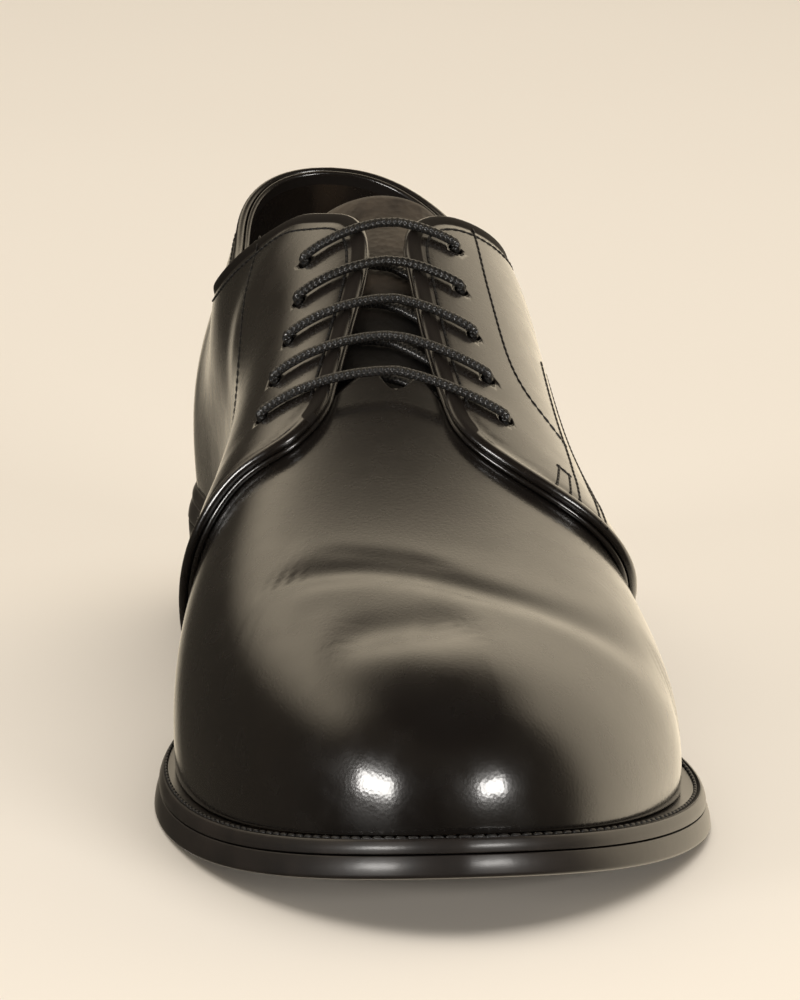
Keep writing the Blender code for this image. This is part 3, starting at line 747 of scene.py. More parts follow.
def quarter_floor(rib, lift):
    """Inner face of the quarter over the last: clear of the tongue, and on the vamp in front."""
    points = last_surface(rib, lift)
    lateral, medial = (line_distance(points, on_last(EDGES[side][1], side)) for side in (1, -1))
    on_vamp = 1 - ease((np.where(rib >= 0, lateral, medial) - VAMP_HOLD) / VAMP_FADE)
    rise = FACING_RISE * facing_mask(rib, lift)
    return rise + (VAMP_WALL + LAYER_GAP - rise) * on_vamp


def edge_bead(distance):
    """Turned edge: a bell exp(-d^2) of 0.32 mm at 1.3 mm in, less one of 0.22 mm at 3.1 mm."""
    swell = 0.00032 * np.exp(-((distance - 0.0013) / 0.0010) ** 2)
    return swell - 0.00022 * np.exp(-((distance - 0.0031) / 0.0005) ** 2)


def rolled(distance, radius):
    """Share of full thickness near a rounded edge: sqrt(1 - (1 - d/radius)^2)."""
    inside = np.clip(distance / radius, 0, 1)
    return np.sqrt(1 - (1 - inside) ** 2)


print("edge swell", [round(float(edge_bead(d / 1000)) * 1000, 2) for d in range(5)], "mm at 0 to 4 mm in")

# %% [markdown]
# ## The quarters
# A real quarter is calf folded or edged over a backing, about three millimetres together, and
# both edges show as two rounded lips with a groove between.  So each quarter is two closed
# layers.  Each layer's thickness follows a quarter circle near the cut edge, worked out from the
# true distance to that edge, which rolls the lip evenly round the corner.


# %% Quarters: outer leather and backing
LIP_RADIUS = 0.0009
HEEL_SEAM_DEPTH = 0.00025
HEEL_SEAM_WIDTH = 0.0006
HEEL_SEAM_RIBS = 0.05


def layer(patches, side, low, high, turned):
    """One closed layer: middle height plus or minus half its thickness times the rolled share."""
    top, front = EDGES[side]
    rib, lift = np.moveaxis(quarter_places(side), -1, 0)
    base = last_surface(rib * side, lift)
    distance = line_distance(base, on_last(np.vstack([top, front[::-1][1:]]), side))
    distance[-1, :] = 0.0
    distance[:, -1] = 0.0
    floor = quarter_floor(rib * side, lift)
    half = (high - low) / 2
    seam = HEEL_SEAM_DEPTH * np.exp(-(base[..., 0] / HEEL_SEAM_WIDTH) ** 2) * (rib < HEEL_SEAM_RIBS)
    swell = rolled(distance, half) * half
    middle = floor + (high + low) / 2
    inner = shell(rib * side, lift, middle - swell)
    face = edge_bead(distance) * rolled(distance, LIP_RADIUS) - seam if turned else 0.0
    outer = shell(rib * side, lift, middle + swell + face)
    from_top = line_distance(base, on_last(top, side)) * 1000
    patches.wall(inner, outer, [np.s_[:, 0]], trim=from_top)


quarters = Patches("trim")
backing = Patches("trim")
for side in (1, -1):
    layer(quarters, side, BACKING_WALL + LAYER_GAP, QUARTER_WALL, True)
    layer(backing, side, 0.0, BACKING_WALL, False)
quarters_piece = make_piece("quarters", quarters, [quarter_finish.material])
backing_piece = make_piece("quarter_backing", backing, [quarter_finish.material])

# %% [markdown]
# ## The vamp and its creases
# The vamp is one piece of calf that covers the toe and runs back under the quarters.  Where the
# foot bends, the leather has taken a few soft folds: one long trough that bows forward across
# the shoe, a faint crease behind it and a shallow hollow in front.  They are placed on
# the plan of the shoe and pressed into the surface, because that is where the eye reads them.

# %% Creases
# One row a point of a crease: how far across and along the last, in millimetres.
LONG_TROUGH = (
    (-34, 221.5), (-30, 224), (-25, 226), (-15, 228.5), (-1.4, 233.5),
    (8.7, 238.5), (22.7, 240.5), (33.9, 237.5), (42, 230), (47, 222), (50, 215),
)
HIGH_CREASE = ((-24, 218), (-10.7, 223.5), (-1.0, 227.5), (7.0, 232))
FRONT_HOLLOW = ((-25, 253), (-16, 254.5), (-7, 255), (2, 254.5), (11, 253.5))


def crease(points, knots, depth, width, ridge, fade):
    """Fold: -depth exp(-(d/width)^2) + ridge exp(-(d/2.2 width)^2), faded out at both ends."""
    knots = np.c_[np.array(knots) / 1000, np.zeros(len(knots))]
    length = run_length(knots)
    fine = np.linspace(0, length[-1], 160)
    line = splined(fine, length, knots)
    flat = np.concatenate([points[..., :2], points[..., 2:] * 0], -1)
    gap = line_distance(flat, line)
    near = ((flat.reshape(-1, 1, 3) - line[None, ::4]) ** 2).sum(-1).argmin(1) * 4
    run = fine[near].reshape(gap.shape)
    ends = ease(run / fade) * ease((length[-1] - run) / fade)
    bell = np.exp(-(gap / width) ** 2)
    wide = np.exp(-(gap / (2.2 * width)) ** 2)
    return (-depth * bell + ridge * wide) * ends


def vamp_relief(points):
    """Sum of the folds over the vamp."""
    relief = crease(points, LONG_TROUGH, 0.00085, 0.0048, 0.0003, 0.014)
    relief = relief + crease(points, HIGH_CREASE, 0.00017, 0.0026, 0.00005, 0.010)
    return relief + crease(points, FRONT_HOLLOW, 0.00095, 0.0075, 0.0, 0.013)


middle_of_shoe = np.array([[0.001, 0.2335, 0.0]])
print("fold on the middle line", np.round(vamp_relief(middle_of_shoe) * 1000, 2), "mm")

# %% [markdown]
# The net of the vamp starts under the quarters, follows their front edge and the throat, and
# runs forward to the tip of the toe.  The throat is solved a few times so that it bows forward
# smoothly in plan, from one corner over the crest to the other.

# %% Vamp
UNDERLAP = 0.0185
THROAT_SET = 0.022
RIB_STEP = 1e-4
LAST_CLEAR = 0.00002
FOLD_INSIDE = 0.3


def vamp_places(side, columns=150, hidden=10, low_rows=60, high_rows=26):
    """(rib, lift) grid of half the vamp, from under the quarter to the tip of the toe."""
    front = front_edge(side, low_rows)
    corner = front[-1]
    middle = (front_edge(1, 2)[-1, 0] + front_edge(-1, 2)[-1, 0]) / 2 - THROAT_SET
    share = np.linspace(0, 1, high_rows + 1)[1:]
    bow = np.sin(share * math.pi / 2)
    lift = corner[1] + (CREST - corner[1]) * share
    rib = corner[0] + (middle - corner[0]) * bow
    ends = last_surface(np.array([corner[0], middle]) * side, np.array([corner[1], CREST]))[:, 1]
    wanted = ends[0] + (ends[1] - ends[0]) * bow
    for _ in range(5):
        reached = last_surface(rib * side, lift)[:, 1]
        slope = (last_surface((rib + RIB_STEP) * side, lift)[:, 1] - reached) / RIB_STEP
        rib = rib + (wanted - reached) / slope
    throat = np.stack([rib, lift], -1)
    back = np.vstack([front, throat])
    rows = len(back)
    tip = np.stack([np.ones(rows), np.linspace(0, CREST, rows)], -1)
    spread = np.linspace(0, 1, 40)
    bottom = table_curve(back[0, 0] + (1 - back[0, 0]) * spread, spread * 0, 600)
    crest = table_curve(back[-1, 0] + (1 - back[-1, 0]) * spread, spread * 0 + CREST, 600)
    p, q = np.meshgrid(np.linspace(0, 1, columns), np.linspace(0, 1, rows), indexing="ij")
    visible = framed_net(p, q, bottom, crest, back, tip)
    tuck = np.linspace(1, 0, hidden + 1)[:-1, None, None] * UNDERLAP
    fade = ease((CREST - back[:, 1]) / 0.12)[None, :, None]
    under = np.broadcast_to(back[None], (hidden, rows, 2)) - tuck * fade * np.array([1.0, 0.0])
    return np.concatenate([under, visible])


vamp = Patches()
for side in (1, -1):
    rib, lift = np.moveaxis(vamp_places(side), -1, 0)
    points = last_surface(rib * side, lift)
    relief = vamp_relief(points)
    outer = shell(rib * side, lift, VAMP_WALL + relief)
    inner = shell(rib * side, lift, LAST_CLEAR + np.minimum(relief, 0.0) * FOLD_INSIDE)
    vamp.add(inner, 1)
    vamp.add(outer)
    vamp.add(np.stack([inner[:, 0], outer[:, 0]]))
    vamp.add(np.stack([inner[0], outer[0]]))
vamp_piece = make_piece("vamp", vamp, [vamp_finish.material, quarter_finish.material])
for piece in (vamp_piece, quarters_piece, backing_piece):
    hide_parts("upper")
print("deepest fold", round(float(relief.min()) * 1000, 2), "mm")
# %% [markdown]
# ## Tongue
# The tongue is a soft strip under the facings, wider at the top, with a cut edge.  It shows
# between the lace bars, so it gets a coarser grain and a matt brown-grey finish.  Further down
# its colour goes to near black: painted shade where it sinks under the lacing.

# %% Tongue
TONGUE_DROP = 0.0013
TONGUE_WALL = 0.0016
TONGUE_TOP = 0.407
TONGUE_END = 0.612
# Half the tongue's width at a rib, in degrees of lift from the crest.
TONGUE_RIBS = (0.398, 0.415, 0.44, 0.54, 0.612)
TONGUE_HALF = (26.0, 31.0, 37.0, 29.0, 21.0)
CURL_OUT = 0.0016
CURL_IN = 0.0006
CURL_FADE = 0.03
TONGUE_COLUMNS = 90
TONGUE_ROWS = 70
tongue_finish = Finish("tongue_calf", 0.5, 0.1, 0.3)
tongue_cloud = tongue_finish.band(tongue_finish.noise(90.0, 4.0, 0.65), 0.3, 0.7)
worn = tongue_finish.mix(tongue_cloud, (0.024, 0.018, 0.013), (0.060, 0.045, 0.031))
# Painted shade: about a third of the way down, the tongue's colour fades to near black.
painted_shade_down_tongue = tongue_finish.band(tongue_finish.value("depth"), 0.30, 0.52)
tongue_finish.send("Base Color", tongue_finish.mix(painted_shade_down_tongue, worn, (0.006, 0.005, 0.004)))
tongue_finish.relief(tongue_finish.noise(70.0), 0.0006, 0.6)
tongue_finish.relief(tongue_finish.cells(600.0), 0.00014, 0.8)


def arch(angle):
    """Lift and side for an angle that runs 0 lateral, quarter turn crest, half turn medial."""
    side = np.where(angle <= CREST, 1.0, -1.0)
    return np.minimum(angle, math.pi - angle), side


def tongue_sheets():
    """Inner and outer face: the last at -drop, curled out where it passes the collar."""
    share = np.linspace(0, 1, TONGUE_COLUMNS)[:, None]
    across = np.linspace(-1, 1, TONGUE_ROWS)[None, :]
    top = TONGUE_TOP - 0.012 * np.maximum(across, 0.0) + 0.006 * np.maximum(-across, 0.0) ** 2
    rib = top + (TONGUE_END - top) * share
    lift, side = arch(CREST + np.radians(np.interp(rib, TONGUE_RIBS, TONGUE_HALF)) * across)
    collar_rows = np.array(TOP_EDGE)[5:9]
    collar = np.interp(lift, np.radians(collar_rows[:, 1]), collar_rows[:, 0])
    curl = CURL_OUT * ease((collar - 0.006 - rib) / CURL_FADE) - CURL_IN * ease((rib - 0.545) / CURL_FADE)
    edge = np.minimum((1 - np.abs(across)) * 0.020, (rib - top) * 0.43)
    thick = TONGUE_WALL / 2 * (0.25 + 0.75 * rolled(edge, 0.0014))
    middle = -TONGUE_DROP - TONGUE_WALL / 2 + curl
    return shell(rib * side, lift, middle - thick), shell(rib * side, lift, middle + thick)


# The stored "depth" is the share of the way down the tongue; it only places the painted shade.
tongue = Patches("depth")
tongue_shade_share = np.broadcast_to(np.linspace(0, 1, TONGUE_COLUMNS)[:, None], (TONGUE_COLUMNS, TONGUE_ROWS))
tongue_edges = (np.s_[0, :], np.s_[-1, :], np.s_[:, 0], np.s_[:, -1])
tongue.wall(*tongue_sheets(), tongue_edges, depth=tongue_shade_share)
tongue_piece = make_piece("tongue_leather", tongue, [tongue_finish.material])
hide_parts("tongue")

# %% [markdown]
# ## Sole
# Outsole and welt are profiles carried round the outline of the foot.  Both edges are trimmed
# together on the bench, so they share one face with a fine line between them, and each has a
# small rounded corner that catches the light.  A profile is a short list of steps: how much of
# the sole's overhang it keeps, how far it reaches beyond that, and how high it stands.

# %% Rings and blocks
RING_RIBS = np.linspace(-1, 1, 481)
BELLY = 0.00030


def ring(steps, base, ribs=RING_RIBS):
    """(share of overhang, reach, rise) steps carried round the outline over a base height."""
    levels = []
    for share, reach, rise in steps:
        plan = outline(ribs, overhang(ribs) * share + reach)
        levels.append(np.column_stack([plan, base(plan[:, 1]) + rise]))
    return np.stack(levels, 1)


def bridge(one, two, across):
    """Straight lines from each point of one row to its partner in the other."""
    share = np.linspace(0, 1, across)[None, :, None]
    return one[:, None] * (1 - share) + two[:, None] * share


def block(grid, across, cut=True):
    """A ring with its two flat faces and, unless it runs all the way round, its cut end."""
    half = (len(grid) - 1) // 2
    filled = Patches()
    filled.add(grid)
    for level in (0, -1):
        filled.add(bridge(grid[half::-1, level], grid[half:, level], across))
    if cut:
        filled.add(bridge(grid[0], grid[-1], across))
    return filled


def edge_profile(top, radius_low, radius_high, lean, back=0.0):
    """Steps of a trimmed edge: arcs r cos a, r sin a at both corners and a low belly between."""
    steps = []
    for turn in np.linspace(-math.pi / 2, 0, 5):
        steps.append((radius_low * (math.cos(turn) - 1), radius_low * (math.sin(turn) + 1)))
    for share in (0.25, 0.5, 0.75):
        rise = radius_low + (top - radius_high - radius_low) * share
        steps.append((BELLY * math.sin(share * math.pi) * 0.5, rise))
    for turn in np.linspace(0, math.pi / 2, 5):
        steps.append((radius_high * (math.cos(turn) - 1), top + radius_high * (math.sin(turn) - 1)))
    return [(1.0, out - back - lean * up / top - BELLY * 0.5, up) for out, up in steps]


print("ring of", len(RING_RIBS), "places round the foot")

# %% Outsole
sole_finish = Finish("dressed_sole_edge", 0.42, 0.45, 0.24, 1.45)
sole_finish.clouded(120.0, 4.0, (0.010, 0.008, 0.007), (0.017, 0.013, 0.011))
sole_finish.relief(sole_finish.noise(420.0, 3.0), 0.00006, 0.4)
outsole_ring = ring(edge_profile(OUTSOLE_THICKNESS, 0.0009, 0.00022, 0.0011), tread_height)
outsole_piece = make_piece("outsole_leather", block(outsole_ring, 41, False), [sole_finish.material])
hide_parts("outsole")

# %% Welt
WELT_INSIDE = -0.0070
WELT_TOP = (
    (1.0, -0.0022, WELT_THICKNESS),
    (0.5, 0.0, WELT_THICKNESS - 0.0001),
    (0.0, 0.0012, WELT_THICKNESS),
    (0.0, WELT_INSIDE, WELT_THICKNESS),
    (0.0, WELT_INSIDE, 0.0),
)


def welt_base(along):
    """Height of the welt's lower face, one gap above the outsole."""
    return tread_height(along) + OUTSOLE_THICKNESS + GAP


welt_edge = edge_profile(WELT_THICKNESS, 0.00022, 0.0007, 0.0007, 0.0011)
welt = Patches()
welt.add(ring([(0.0, WELT_INSIDE, 0.0), *welt_edge, *WELT_TOP], welt_base))
welt_piece = make_piece("welt_strip", welt, [sole_finish.material])
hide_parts("welt")

# %% [markdown]
# ## Heel
# The heel is built from lifts of leather with a rubber top piece, all trimmed to one curve with
# a straight breast.  The joins of the lifts show as fine lines in the dressed edge.

# %% Heel
HEEL_BREAST = 0.072
TOP_PIECE_HEIGHT = 0.006
LIFT_COUNT = 4
FLARE = 0.0008
# Levels of one lift: share of its height, and how far the fine groove at a join cuts in.
LIFT_LEVELS = ((0.0, 0.00014), (0.04, 0.00002), (0.5, 0.0), (0.96, 0.00002), (1.0, 0.00014))
heel_ribs = np.linspace(0, 0.5, 800)
plans = [outline(ribs, overhang(ribs)) for ribs in (heel_ribs, -heel_ribs)]
BREAST_RIB = max(float(np.interp(HEEL_BREAST, plan[:, 1], heel_ribs)) for plan in plans)


def heel_block(bottom, top, count):
    """Closed stack of lifts round the seat, wider at its foot and cut straight at the breast."""
    steps = []
    for k in range(count):
        low = bottom + (top - bottom) * k / count
        high = bottom + (top - bottom) * (k + 1) / count
        for share, groove in LIFT_LEVELS[min(k, 1):]:
            height = low + (high - low) * share
            slope = (height - bottom) / (top - bottom)
            steps.append((1.0, -0.0004 - FLARE * (1 - slope) - groove, height))
    grid = ring(steps, np.zeros_like, np.linspace(-BREAST_RIB, BREAST_RIB, 161))
    grid[..., 1] = np.minimum(grid[..., 1], HEEL_BREAST)
    return block(grid, 31)


stack = heel_block(TOP_PIECE_HEIGHT + GAP, HEEL_HEIGHT - GAP, LIFT_COUNT)
stack_piece = make_piece("heel_lifts", stack, [sole_finish.material], sharp=50)
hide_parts("heel_stack")
rubber_finish = Finish("heel_rubber", 0.62, 0.0, 0.2)
rubber_finish.clouded(200.0, 3.0, (0.014, 0.014, 0.014), (0.024, 0.023, 0.022))
rubber_finish.relief(rubber_finish.noise(900.0, 3.0), 0.00008, 0.6)
rubber = heel_block(0.0, TOP_PIECE_HEIGHT, 1)
top_piece = make_piece("heel_top_rubber", rubber, [rubber_finish.material], sharp=50)
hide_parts("heel_top_piece")

# %% [markdown]
# ## Insole
# Inside, a leather sock covers the insole.  It is a plate that follows the tread and rests
# within the welt, with a small bevel round its upper edge.

# %% Insole
INSOLE_RISE = 0.0030
SOCK_INSET = -0.0074
SOCK_SEAT = WELT_THICKNESS + 0.0001
SOCK_STEPS = (
    (0.0, SOCK_INSET, 0.0),
    (0.0, SOCK_INSET, SOCK_SEAT),
    (0.0, -0.0009, SOCK_SEAT),
    (0.0, -0.0011, SOCK_SEAT + INSOLE_RISE - 0.0006),
    (0.0, -0.0020, SOCK_SEAT + INSOLE_RISE),
)
sock_finish = Finish("sock_leather", 0.6, 0.0, 0.3)
sock_finish.clouded(60.0, 4.0, (0.17, 0.11, 0.066), (0.23, 0.155, 0.095))
sock_finish.relief(sock_finish.cells(900.0), 0.0001, 0.5)
sock_ring = ring(SOCK_STEPS, lambda along: welt_base(along) + GAP, np.linspace(-0.985, 0.985, 301))
sock_piece = make_piece("sock", block(sock_ring, 41), [sock_finish.material])
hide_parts("insole")

# %% [markdown]
# ## Eyelets
# Five pairs of plain holes go through both layers of the quarters.  Each hole is given as a rib
# and a margin in from the facing's edge, and a closed pin cuts it through the leather.

# %% Eyelet places
# Lateral rib and margin, then medial rib and margin, from the top pair down.
EYELETS = (
    (0.457, 0.0097, 0.452, 0.0128),
    (0.489, 0.0100, 0.480, 0.0145),
    (0.520, 0.0106, 0.505, 0.0150),
    (0.550, 0.0112, 0.529, 0.0157),
    (0.578, 0.0120, 0.553, 0.0163),
)
EYELET_RADIUS = 0.0017
FACING_TOP = 0.44
LOWEST_LIFT = math.radians(20)


def eyelet(side, row):
    """Rib and lift of an eyelet: its margin down from the facing's edge, along the rib."""
    rib, margin = EYELETS[row][:2] if side > 0 else EYELETS[row][2:]
    edge = top_edge(side, 300)
    edge = edge[edge[:, 0] > FACING_TOP]
    lifts = np.linspace(np.interp(rib, edge[:, 0], edge[:, 1]), LOWEST_LIFT, 200)
    length = run_length(last_surface(np.full(200, rib * side), lifts))
    return rib, float(np.interp(margin, length, lifts))


print("top lateral eyelet: rib and lift", np.round(eyelet(1, 0), 3))


# %% Eyelet holes
def around(angle, across, up):
    """A direction turned round a line: cos(angle) across + sin(angle) up."""
    return np.cos(angle) * across + np.sin(angle) * up


def eyelet_pins():
    """Closed pins with sixteen flat sides, along the last's normal through each eyelet."""
    pins = Patches()
    turn = np.linspace(0, 2 * math.pi, 17)[None, :, None]
    reach = np.array([-0.0008, -0.0008, 0.0075, 0.0075])[:, None, None]
    size = np.array([0.0, 1.0, 1.0, 0.0])[:, None, None] * EYELET_RADIUS
    for side in (1, -1):
        for row in range(len(EYELETS)):
            rib, lift = eyelet(side, row)
            out = last_normal(rib * side, lift)
            across = unit(np.cross(out, np.array([0.0, 1.0, 0.0])))
            arm = around(turn, across, np.cross(out, across))
            pins.add(last_surface(rib * side, lift) + out * reach + arm * size)
    return pins


def pierced(piece, pins):
    """Cut the pins out of a piece for good."""
    cut = piece.modifiers.new("eyelets", "BOOLEAN")
    cut.operation = "DIFFERENCE"
    cut.solver = "EXACT"
    cut.object = pins
    bpy.context.view_layer.update()
    done = bpy.data.meshes.new_from_object(piece.evaluated_get(bpy.context.evaluated_depsgraph_get()))
    piece.modifiers.remove(cut)
    piece.data = done
    print(piece.name, "pierced:", len(done.polygons), "faces")


pins_object = add_object("eyelet_pins", closed_mesh("eyelet_pins", eyelet_pins(), [])[0])
for piece in (quarters_piece, backing_piece):
    pierced(piece, pins_object)
bpy.data.objects.remove(pins_object)

# %% [markdown]
# ## Lace
# One round waxed cord runs through five pairs of eyelets: five bars over the facings, slanting
# runs beneath them, and both ends tucked away under the top pair.  The centre line is laid on
# the last at a fixed height over or under the leather, and a tube follows it.

# %% Line of the lace
LACE_RADIUS = 0.0010
LACE_BEND = 0.0017
LACE_CLEAR = 0.0004
LACE_TAIL = math.radians(7.0)
LACE_STEP = 0.0007


def surface_path(start, end, offset, count):
    """Points from one (rib, angle) place to another, at an offset from the last."""
    share = np.linspace(0, 1, count)
    lift, side = arch(start[1] + (end[1] - start[1]) * share)
    return shell((start[0] + (end[0] - start[0]) * share) * side, lift, np.full(count, offset))


def rounded(corners, radius):
    """Polyline with each corner cut by three points: two on its arms and one on the arc."""
    corners = np.array(corners)
    back = corners[:-2] - corners[1:-1]
    on = corners[2:] - corners[1:-1]
    shorter = np.minimum(np.linalg.norm(back, axis=1), np.linalg.norm(on, axis=1))
    reach = np.minimum(radius, 0.48 * shorter)
    turn = (unit(back) * unit(on)).sum(-1)
    reach = np.where(turn < -0.9, reach * 0.5, reach)[:, None]
    first = corners[1:-1] + unit(back) * reach
    last = corners[1:-1] + unit(on) * reach
    middle = corners[1:-1] * 0.5858 + (first + last) * 0.2071
    bends = np.stack([first, middle, last], 1).reshape(-1, 3)
    return np.vstack([corners[:1], bends, corners[-1:]])


def lace_path():
    """Centre line of the lace: bars over the facings, slanting runs beneath them."""
    over = QUARTER_WALL + FACING_RISE + LACE_CLEAR + LACE_RADIUS
    under = FACING_RISE - LACE_CLEAR - LACE_RADIUS
    holes = []
    for row in range(len(EYELETS)):
        rib, lift = eyelet(-1, row)
        holes.append((eyelet(1, row), (rib, math.pi - lift)))
    top = holes[0][0]
    corners = list(surface_path((top[0] - 0.004, top[1] - LACE_TAIL * 1.2), top, under, 3))
    for row, (right, left) in enumerate(holes):
        corners += list(surface_path(right, left, over, 9 + row))
        if row < len(holes) - 1:
            corners += list(surface_path(left, holes[row + 1][0], under, 8 + row))
    low, high = holes[-1][1], holes[0][1]
    turn = (low[0] - 0.010, low[1] + LACE_TAIL)
    corners += list(surface_path(low, turn, under, 3))
    corners += list(surface_path(turn, (high[0], high[1] + LACE_TAIL), under, 12))[1:]
    return rounded(corners, LACE_BEND)


def finer(path, step):
    """A spline through a polyline, read at even steps of its length."""
    path = path[np.r_[True, np.linalg.norm(np.diff(path, axis=0), axis=1) > 1e-5]]
    length = run_length(path)
    at = np.linspace(0, length[-1], int(length[-1] / step))
    return splined(at, length, path)


lace_line = finer(lace_path(), LACE_STEP)
lace_run = run_length(lace_line)
print("lace length", round(float(lace_run[-1]), 3), "m")


# %% Cord of the lace
LACE_SIDES = 14
PLAIT_PITCH = 1.15
PLAIT_STRANDS = 4.0


def carried_frame(path):
    """Two directions across a path, carried along it without twist."""
    ways = unit(np.gradient(path, axis=0))
    across = np.empty_like(ways)
    across[0] = Vector(ways[0]).orthogonal().normalized()
    for i in range(1, len(ways)):
        moved = across[i - 1] - ways[i] * (across[i - 1] @ ways[i])
        across[i] = moved / np.linalg.norm(moved)
    return across, np.cross(ways, across)


def tube(path, radius, sides):
    """Rings of a tube: path + radius (cos a across + sin a up), closed at each end by a point."""
    across, up = carried_frame(path)
    angle = np.linspace(0, 2 * math.pi, sides + 1)[None, :, None]
    rings = path[:, None] + around(angle, across[:, None], up[:, None]) * radius
    caps = [np.broadcast_to(path[k], (1, sides + 1, 3)) for k in (0, -1)]
    return np.concatenate([caps[0], rings, caps[1]])


# Two families of strands wind opposite ways; "run" is in millimetres and "turn" in turns.
lace_finish = Finish("waxed_lace", 0.32, 0.6, 0.2)
sums = lace_finish.math
braid_run = sums("MULTIPLY", lace_finish.value("run"), 2.0 * math.pi / PLAIT_PITCH)
braid_turn = sums("MULTIPLY", lace_finish.value("turn"), 2.0 * math.pi * PLAIT_STRANDS)
strands = [sums("SINE", sums(way, braid_run, braid_turn)) for way in ("ADD", "SUBTRACT")]
plait = sums("MAXIMUM", *strands)
# Base colour lighter on the crowns of the strands and near black in the valleys between them: painted
# highlight and painted shade; the bump and roughness below are real.
painted_highlight_and_shade = lace_finish.band(plait, -0.2, 0.9)
lace_finish.send("Base Color", lace_finish.mix(painted_highlight_and_shade, (0.002, 0.002, 0.002), (0.016, 0.014, 0.012)))
lace_finish.send("Roughness", lace_finish.band(plait, -0.2, 1.0, 0.65, 0.30))
lace_finish.relief(lace_finish.band(plait, -0.4, 1.0), 0.00014, 0.7)
lace = Patches("run", "turn")
run_value = np.r_[0.0, lace_run, lace_run[-1]][:, None] * 1000
turn_value = np.linspace(0, 1, LACE_SIDES + 1)[None, :]
lace.add(tube(lace_line, LACE_RADIUS, LACE_SIDES), run=run_value, turn=turn_value)
lace_piece = make_piece("lace_cord", lace, [lace_finish.material])
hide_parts("lace")

# %% [markdown]
# ## Stitching
# Rows of thread hold the facings, the topline and the join to the vamp.  A sewing machine
# pulls the thread into the leather; each row on the upper lies on a narrow near-black strip, painted
# shade for the shadow in that channel, with short rounded stitches on it.  One small capsule is worked
# out once and repeated along the row.

# %% Thread, and the strips of painted shade along the seams
thread_finish = Finish("black_thread", 0.55, 0.1, 0.3)
thread_finish.clouded(2500.0, 2.0, (0.004, 0.004, 0.004), (0.012, 0.010, 0.009))
# Near-black matt finish of the strips along the seams: painted shade that stands for the shadow in the
# stitch channel.
shade_strip_finish = Finish("seam_painted_shade", 0.8, 0.0, 0.3, 1.4)
shade_strip_finish.clouded(900.0, 2.0, (0.002, 0.002, 0.002), (0.006, 0.005, 0.004))
STITCH_PITCH = 0.0021
STITCH_LONG = 0.0019
STITCH_WIDE = 0.00026
STITCH_TILT = 0.12
TACK_PITCH = 0.0016
TACK_LONG = 0.0015
CORD_STEP = 0.0008


def surface_frame(path, lean):
    """Along, across and outward directions of a path that lies on a surface of normals lean."""
    along = unit(np.gradient(path, axis=0))
    across = unit(np.cross(along, lean))
    return along, across, unit(np.cross(across, along))


def even_rows(path, values, step):
    """A path and its values read again at even steps of the path's length."""
    length = run_length(path)
    at = np.linspace(0, length[-1], max(3, int(round(length[-1] / step)) + 1))
    return resampled(at, length, path), unit(resampled(at, length, values))


def capsules(path, lean, pitch, long, wide, tilt=0.0):
    """Stitches: rings of radius wide * sqrt(1 - u^4) along each stitch, u from -1 to 1."""
    spots, lean = even_rows(path, lean, pitch)
    along, across, out = surface_frame(spots, lean)
    along = unit(along + across * tilt)
    across = unit(np.cross(along, out))
    u = np.array([-1.0, -0.85, -0.45, 0.0, 0.45, 0.85, 1.0])
    angle = np.linspace(0, 2 * math.pi, 8)[:, None]
    size = wide * np.sqrt(np.maximum(1 - u ** 4, 0))
    grid = spots[:, None, None] + along[:, None, None] * (u * long / 2)[None, :, None, None]
    arm = around(angle, across[:, None], out[:, None])
    return grid + arm[:, None] * size[None, :, None, None]


def flat_cord(path, lean, wide, high):
    """Closed cord of flat section: an ellipse wide cos a, high sin a carried along the path."""
    path, lean = even_rows(path, lean, CORD_STEP)
    along, across, out = surface_frame(path, lean)
    angle = np.linspace(0, 2 * math.pi, 9)[None, :, None]
    size = np.ones(len(path))[:, None, None]
    size[[0, -1]] = 0.0
    return path[:, None] + around(angle, wide * across[:, None], high * out[:, None]) * size


def on_quarter(rib, lift):
    """Points on the quarter's outer face and the last's normals there."""
    return shell(rib, lift, quarter_floor(rib, lift) + QUARTER_WALL), last_normal(rib, lift)


def between(knots, count):
    """A row of (rib, lift in degrees) knots as points and normals on the quarter."""
    knots = np.array(knots, float)
    side = np.sign(knots[-1, 0])
    curve = table_curve(np.abs(knots[:, 0]), np.radians(knots[:, 1]), count)
    return on_quarter(curve[:, 0] * side, curve[:, 1])


def sew(path, lean, pitch, long, tilt=0.0, shade_strip_size=(0.00032, 0.00007)):
    """A row of stitches, each turned a little by the tilt, and a near-black strip of painted shade along
    it for the channel.
    """
    for stitch in capsules(path, lean, pitch, long, STITCH_WIDE, tilt):
        seams.add(stitch)
    shade_strips.add(flat_cord(path, lean, *shade_strip_size))


print("stitch", STITCH_LONG * 1000, "mm long, one every", STITCH_PITCH * 1000, "mm")

# %% [markdown]
# Each seam is a short row of places on the quarter, as rib and lift in degrees.  Two rows shape
# the facings, three rows on the lateral side join the quarter to the vamp, and a small box of
# closer stitches, the bar tack, takes the strain where they meet the edge.

